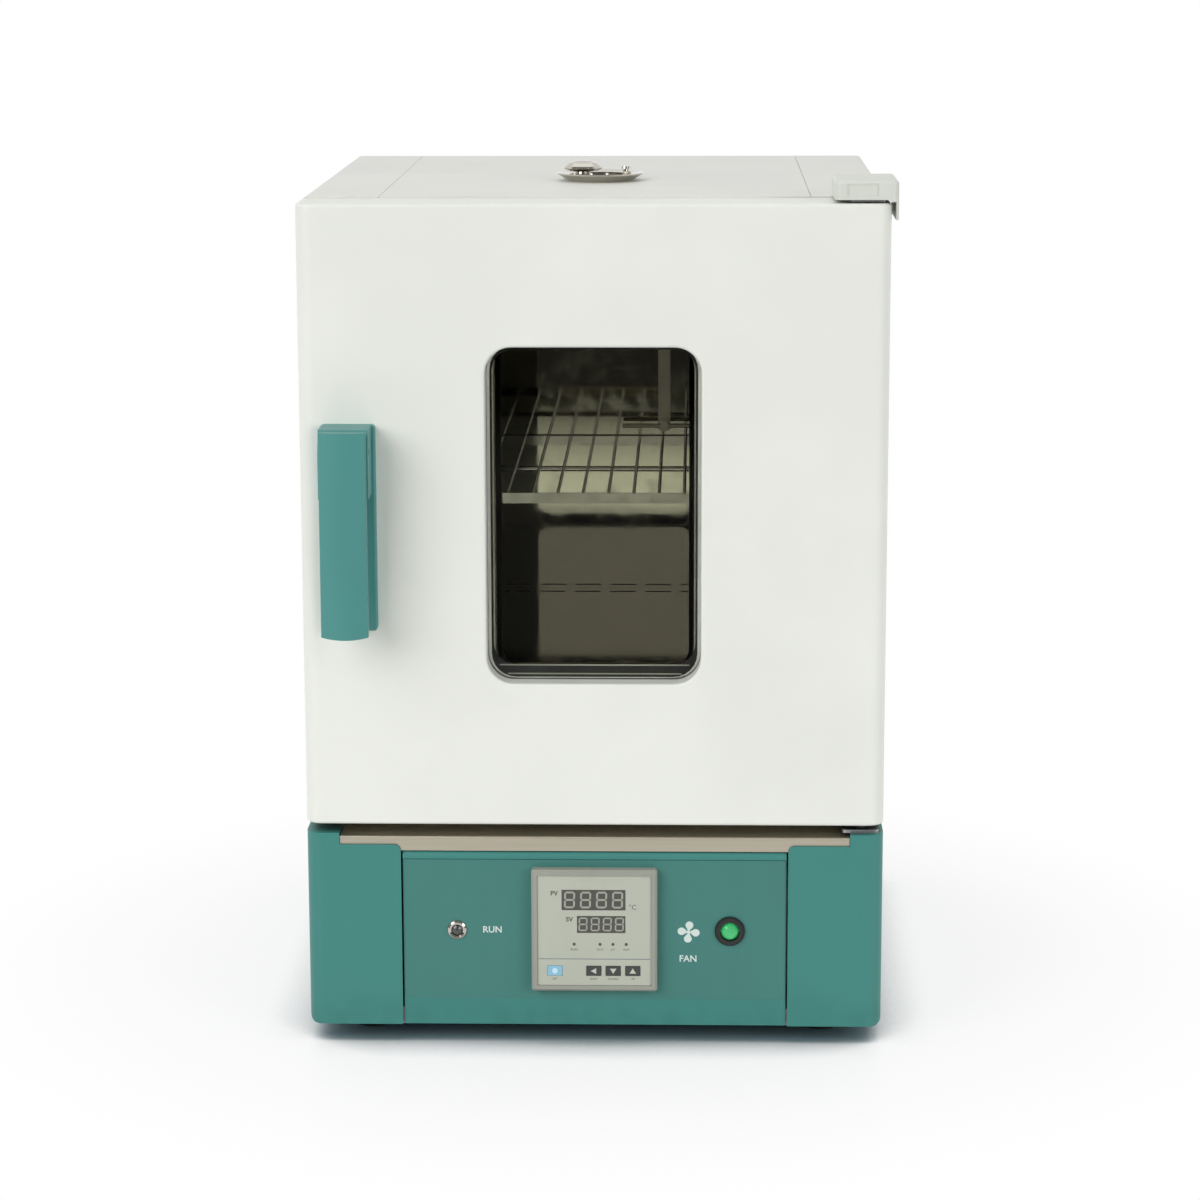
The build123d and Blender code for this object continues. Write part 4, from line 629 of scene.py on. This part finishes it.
# %% Words and rule on the face
SIGN_WORDS = {                   # text, letter height, place from the face's middle, weight
    "pv_word": ("PV", 5.0, (-30.6, 29.4), BOLD),
    "sv_word": ("SV", 5.0, (-19.0, 8.8), BOLD),
    "degree_word": ("°C", 5.4, (29.3, 18.6), 0.0),
}
RULE_HALF, RULE_FOOT, RULE_TOP = 42.6, -22.7, -22.2
LAMP_WORDS = {                   # text and place along the row
    "lamp_word_run": ("RUN", -15.4),
    "lamp_word_out": ("OUT", 4.4),
    "lamp_word_at": ("AT", 14.3),
    "lamp_word_alarm": ("ALM", 24.4),
}
LAMP_ROW, LAMP_LETTER = -15.0, 2.6


def on_face(x, z):
    return (MID_X + x * MM, FACE_PLATE, FACE_MID + z * MM)


def bar_outline(half, foot, top):
    return [(-half, foot), (half, foot), (half, top), (-half, top)]


for name, (text, size, at, weight) in SIGN_WORDS.items():
    word(name, text, size, on_face(*at), "ink_dark", weight)
mark("key_rule", [bar_outline(RULE_HALF, RULE_FOOT, RULE_TOP)], on_face(0, 0), "ink_blue", "cabinet")
for name, (text, x) in LAMP_WORDS.items():
    word(name, text, LAMP_LETTER, on_face(x, LAMP_ROW), "ink_dark")
print("words on the face", len(SIGN_WORDS) + len(LAMP_WORDS))

# %% [markdown]
# ## Signs on the keys
# Three keys carry an arrow and the blue one a bright spot. Each sign rides on its own key, so it
# goes in when the key is pressed. The words under the keys are printed on the face and stay.

# %% Arrows, spot and words of the keys
ARROWS = {                       # corners in millimetres from the key's middle
    "left": [(-2.4, 0), (1.8, -2.3), (1.8, 2.3)],
    "down": [(0, -2.2), (2.5, 1.9), (-2.5, 1.9)],
    "up": [(0, 2.2), (-2.5, -1.9), (2.5, -1.9)],
}
SPOT_R = 2.2
KEY_WORDS = {"set_word": ("key_set", "SET"), "shift_word": ("key_left", "SHIFT"),
             "down_word": ("key_down", "DOWN"), "up_word": ("key_up", "UP")}
UNDER_KEY, KEY_LETTER = 6.6, 2.4


def on_key(node):
    return (middle(node).x, low(node).y, middle(node).z)


for way, corners in ARROWS.items():
    mark(f"arrow_{way}", [corners], on_key(f"key_{way}"), "ink_pale", f"{way}_key")
mark("set_spot", [disc_points(SPOT_R, 24)], on_key("key_set"), "ink_glow", "set_key")
for name, (node, text) in KEY_WORDS.items():
    at = (middle(node).x, FACE_PLATE, middle(node).z - UNDER_KEY * MM)
    word(name, text, KEY_LETTER, at, "ink_dark")
print("keys marked", len(KEY_WORDS))

# %% [markdown]
# ## Round the glass
# Behind the front pane a black rubber spacer closes the space between the painted opening and the
# steel sleeve, and a pale lip edges it. Both are rounded frames: an outer and an inner outline
# joined by two rings of faces and two walls. A bevelled curve could make an even frame, but the
# spacer's lower rail is wider than its sides, and carries two thin pale glazing strips.

# %% Rounded frames
SPACER_AHEAD, SPACER_T = 1.3 * MM, 1.25 * MM     # ahead of the sleeve, and its thickness
SPACER_Y = low("window_sleeve").y - SPACER_AHEAD


def rounded(half_x, half_z, r, rise=0.0):
    """Points of a rounded rectangle, counter-clockwise from its right side."""
    points = []
    for quarter, (sx, sz) in enumerate(((1, 1), (-1, 1), (-1, -1), (1, -1))):
        points += arc_points(r, 7, 90 * quarter, 90 * quarter + 90,
                             sx * (half_x - r), sz * (half_z - r) + rise)
    return points


def window_frame(name, inner, outer, finish):
    """An upright frame on the door between two outlines in millimetres."""
    rings = [(points, depth) for depth in (0.0, SPACER_T) for points in (inner, outer)]
    vertices = [(x * MM, depth, z * MM) for points, depth in rings for x, z in points]
    count = len(inner)
    faces = []
    for first, second in ((0, 1), (3, 2), (2, 0), (1, 3)):
        for i in range(count):
            j = (i + 1) % count
            faces.append([first * count + i, first * count + j, second * count + j, second * count + i])
    mesh = bpy.data.meshes.new(name)
    mesh.from_pydata(vertices, [], faces)
    add_piece(name, mesh, Matrix.Translation((MID_X, SPACER_Y, WINDOW_MID)), finish, "door")


# %% Lip, spacer and glazing strips
HALF_W, HALF_H = 80.5, 127.5     # of the painted opening, in millimetres
OPENING_R, LIP_R, SPACER_R = 20.0, 18.5, 16.0
LIP_SIDE, LIP_END = 2.4, 0.7
SIDE_RAIL, LOW_RAIL = 4.0, 10.5
STRIP_HALF, STRIP_T = 0.5, 0.05 * MM
STRIPS = {                       # height above the opening's foot, and half length
    "glazing_strip_upper": (LOW_RAIL - STRIP_HALF, 72.0),
    "glazing_strip_lower": (3.2, 66.0),
}

lip_inside = rounded(HALF_W - LIP_SIDE, HALF_H - LIP_END, LIP_R)
spacer_inside = rounded(HALF_W - SIDE_RAIL, HALF_H - (SIDE_RAIL + LOW_RAIL) / 2, SPACER_R,
                        (LOW_RAIL - SIDE_RAIL) / 2)
window_frame("window_lip", lip_inside, rounded(HALF_W, HALF_H, OPENING_R), "cream_enamel")
window_frame("window_spacer", spacer_inside, lip_inside, "black_rubber")
for name, (above_foot, half) in STRIPS.items():
    z = above_foot - HALF_H
    mark(name, [bar_outline(half, z - STRIP_HALF, z + STRIP_HALF)], (MID_X, SPACER_Y, WINDOW_MID),
         "ink_dim", "door", thick=STRIP_T)
print("spacer at", round(SPACER_Y, 4))

# %% [markdown]
# ## The room
# The room is white behind the oven. What the polished chamber and the bright fittings mirror is
# the photographer's side, which is dim: a warm grey above, nearly black from eye level down, and
# grey again close by. Before the oven lies a white sheet, and the chamber's back wall mirrors it
# through the window, as one bright patch. A lamp could light such a patch, but it would burn out
# the door. So the world looks different to different rays: plain white to the camera, the dim room
# to what mirrors it, with the sheet only through glass, and soft light to all the rest.

# %% What a ray sees in the room
WHITE, SHEET_WHITE = (1.0, 1.0, 1.0), (1.0, 1.0, 0.86)
WARM_GREY, NEAR_BLACK = (0.27, 0.26, 0.25), (0.022, 0.021, 0.018)
FRONT_LIGHT, BACK_LIGHT = (0.22, 0.22, 0.22), (0.66, 0.66, 0.66)
# Steepness of a ray, in metres down for each metre towards the photographer
BLACK_FROM = (-0.1, 0.02)
SHEET_FAR_EDGE, SHEET_NEAR_EDGE = (0.1445, 0.1475), (0.1712, 0.1745)
SHEET_BRIGHTENS = (0.146, 0.170)
SHEET_FAINT, SHEET_GAIN = 0.26, 0.60
# Share of a ray that goes away from the photographer
BEHIND, BACK_LIT = (-0.12, 0.12), (-0.85, 0.25)

world = bpy.data.worlds.new("room")
bpy.context.scene.world = world
world.use_nodes = True
room = Graph(world.node_tree)
direction = room.node("ShaderNodeTexCoord", out="Generated")
back = room.axis_of(direction, "Y")
steep = room.axis_of(direction, "Z") / back
beyond_near_edge = 1 - steep.between(*SHEET_NEAR_EDGE)
dim = room.blend(WARM_GREY, NEAR_BLACK, steep.between(*BLACK_FROM) * beyond_near_edge)
sheet = (steep.between(*SHEET_FAR_EDGE) * beyond_near_edge
         * (SHEET_FAINT + SHEET_GAIN * steep.between(*SHEET_BRIGHTENS)))
in_front = room.blend(dim, SHEET_WHITE, sheet * room.seen_by("Transmission"))
mirrored = room.blend(in_front, WHITE, back.between(*BEHIND))
light = room.blend(FRONT_LIGHT, BACK_LIGHT, back.between(*BACK_LIT))
indoors = room.blend(light, mirrored, room.seen_by("Glossy", "Transmission"))
room.plug(room.tree.nodes["Background"].inputs["Color"],
          room.blend(indoors, WHITE, room.seen_by("Camera")))
print("room ready with", len(room.tree.nodes), "nodes")

# %% [markdown]
# ## The table
# The oven stands on a plain white table. A white table lit from the front would still come out
# grey at its far end, so it glows plain white to the camera and to whatever mirrors it. Under the
# oven and close to it the glow gives way, because without its shadow the oven would seem to float,
# and there a bluish shadow is also painted into the table's colour.

# %% Table top
TABLE_FRONT, TABLE_BACK, TABLE_SIDE = -1.1, 6.0, 6.0
SHADOW_REACH = 0.09              # within which the oven shades the table, a hand's breadth
# Painted shadow: near the oven the table's colour itself goes to the bluish SHADOW_TINT.
SHADOW_TINT, TABLE_TINT = (0.19, 0.29, 0.32), (0.86, 0.86, 0.86)
TINT_OPEN = (0.3, 0.8)           # open sky over which the table gets its own tint
GLOW_OPEN = (0.40, 0.75)         # and over which it starts to glow
NEAR_GLOW = 0.78                 # share of the glow beside the oven
FULL_GLOW = (0.28, 0.6)          # metres from the oven's middle over which it becomes whole

corners = [(-TABLE_SIDE, TABLE_FRONT, 0), (TABLE_SIDE, TABLE_FRONT, 0),
           (TABLE_SIDE, TABLE_BACK, 0), (-TABLE_SIDE, TABLE_BACK, 0)]
table_mesh = bpy.data.meshes.new("table_top")
table_mesh.from_pydata(corners, [], [(0, 1, 2, 3)])
table = bpy.data.objects.new("table_top", table_mesh)
bpy.context.collection.objects.link(table)

top = Finish("table_white")
sky = top.open_sky(SHADOW_REACH)
# Painted shadow in the colour: bluish where little open sky is seen.
top.set(Base_Color=top.blend(SHADOW_TINT, TABLE_TINT, sky.between(*TINT_OPEN)),
        Roughness=0.3, Specular_IOR_Level=0.3)
away = top.node("ShaderNodeVectorMath", {"operation": "LENGTH"}, {0: top.place()}, out="Value")
glow = top.node("ShaderNodeEmission", None, {"Color": WHITE, "Strength": 1.0})
share = sky.between(*GLOW_OPEN) * (NEAR_GLOW + (1 - NEAR_GLOW) * away.between(*FULL_GLOW))
surface = top.node("ShaderNodeMixShader", None, {
    0: top.seen_by("Camera", "Glossy", "Transmission") * share,
    1: Value(top, top.shader.outputs[0]), 2: glow})
top.plug(top.tree.nodes["Material Output"].inputs["Surface"], surface)
paint(table, "table_white")
print("table", 2 * TABLE_SIDE, "metres wide")

# %% [markdown]
# ## Light
# A large soft box stands to the left of the camera and above it, a weaker one to the right fills
# its shadows, and a faint one overhead evens out the top. The bigger a lamp is, the softer its
# shadows are, such as the one to the right of the handle; small lamps would draw hard edges.

# %% Soft boxes
AIM = Vector((MID_X, 0.0, 0.33))
SOFT_BOXES = {                   # place and size in metres, power in watts
    "key_box": ((-1.9, -2.5, 1.8), (2.2, 2.0), 62),
    "fill_box": ((2.2, -2.3, 1.2), (1.4, 1.6), 32),
    "top_box": ((0.0, 0.2, 2.6), (2.2, 2.0), 5),
}
for name, (at, (wide, tall), power) in SOFT_BOXES.items():
    lamp_data = bpy.data.lights.new(name, "AREA")
    lamp_data.shape, lamp_data.size, lamp_data.size_y = "RECTANGLE", wide, tall
    lamp_data.energy = power
    lamp = bpy.data.objects.new(name, lamp_data)
    lamp.location = at
    lamp.rotation_mode = "QUATERNION"
    lamp.rotation_quaternion = (AIM - Vector(at)).to_track_quat("-Z", "Y")
    bpy.context.collection.objects.link(lamp)
print("lamps", list(SOFT_BOXES))

# %% [markdown]
# ## Finish
# The Standard view transform shows a colour as it is written.

# %% Colour view
bpy.context.scene.view_settings.view_transform = "Standard"
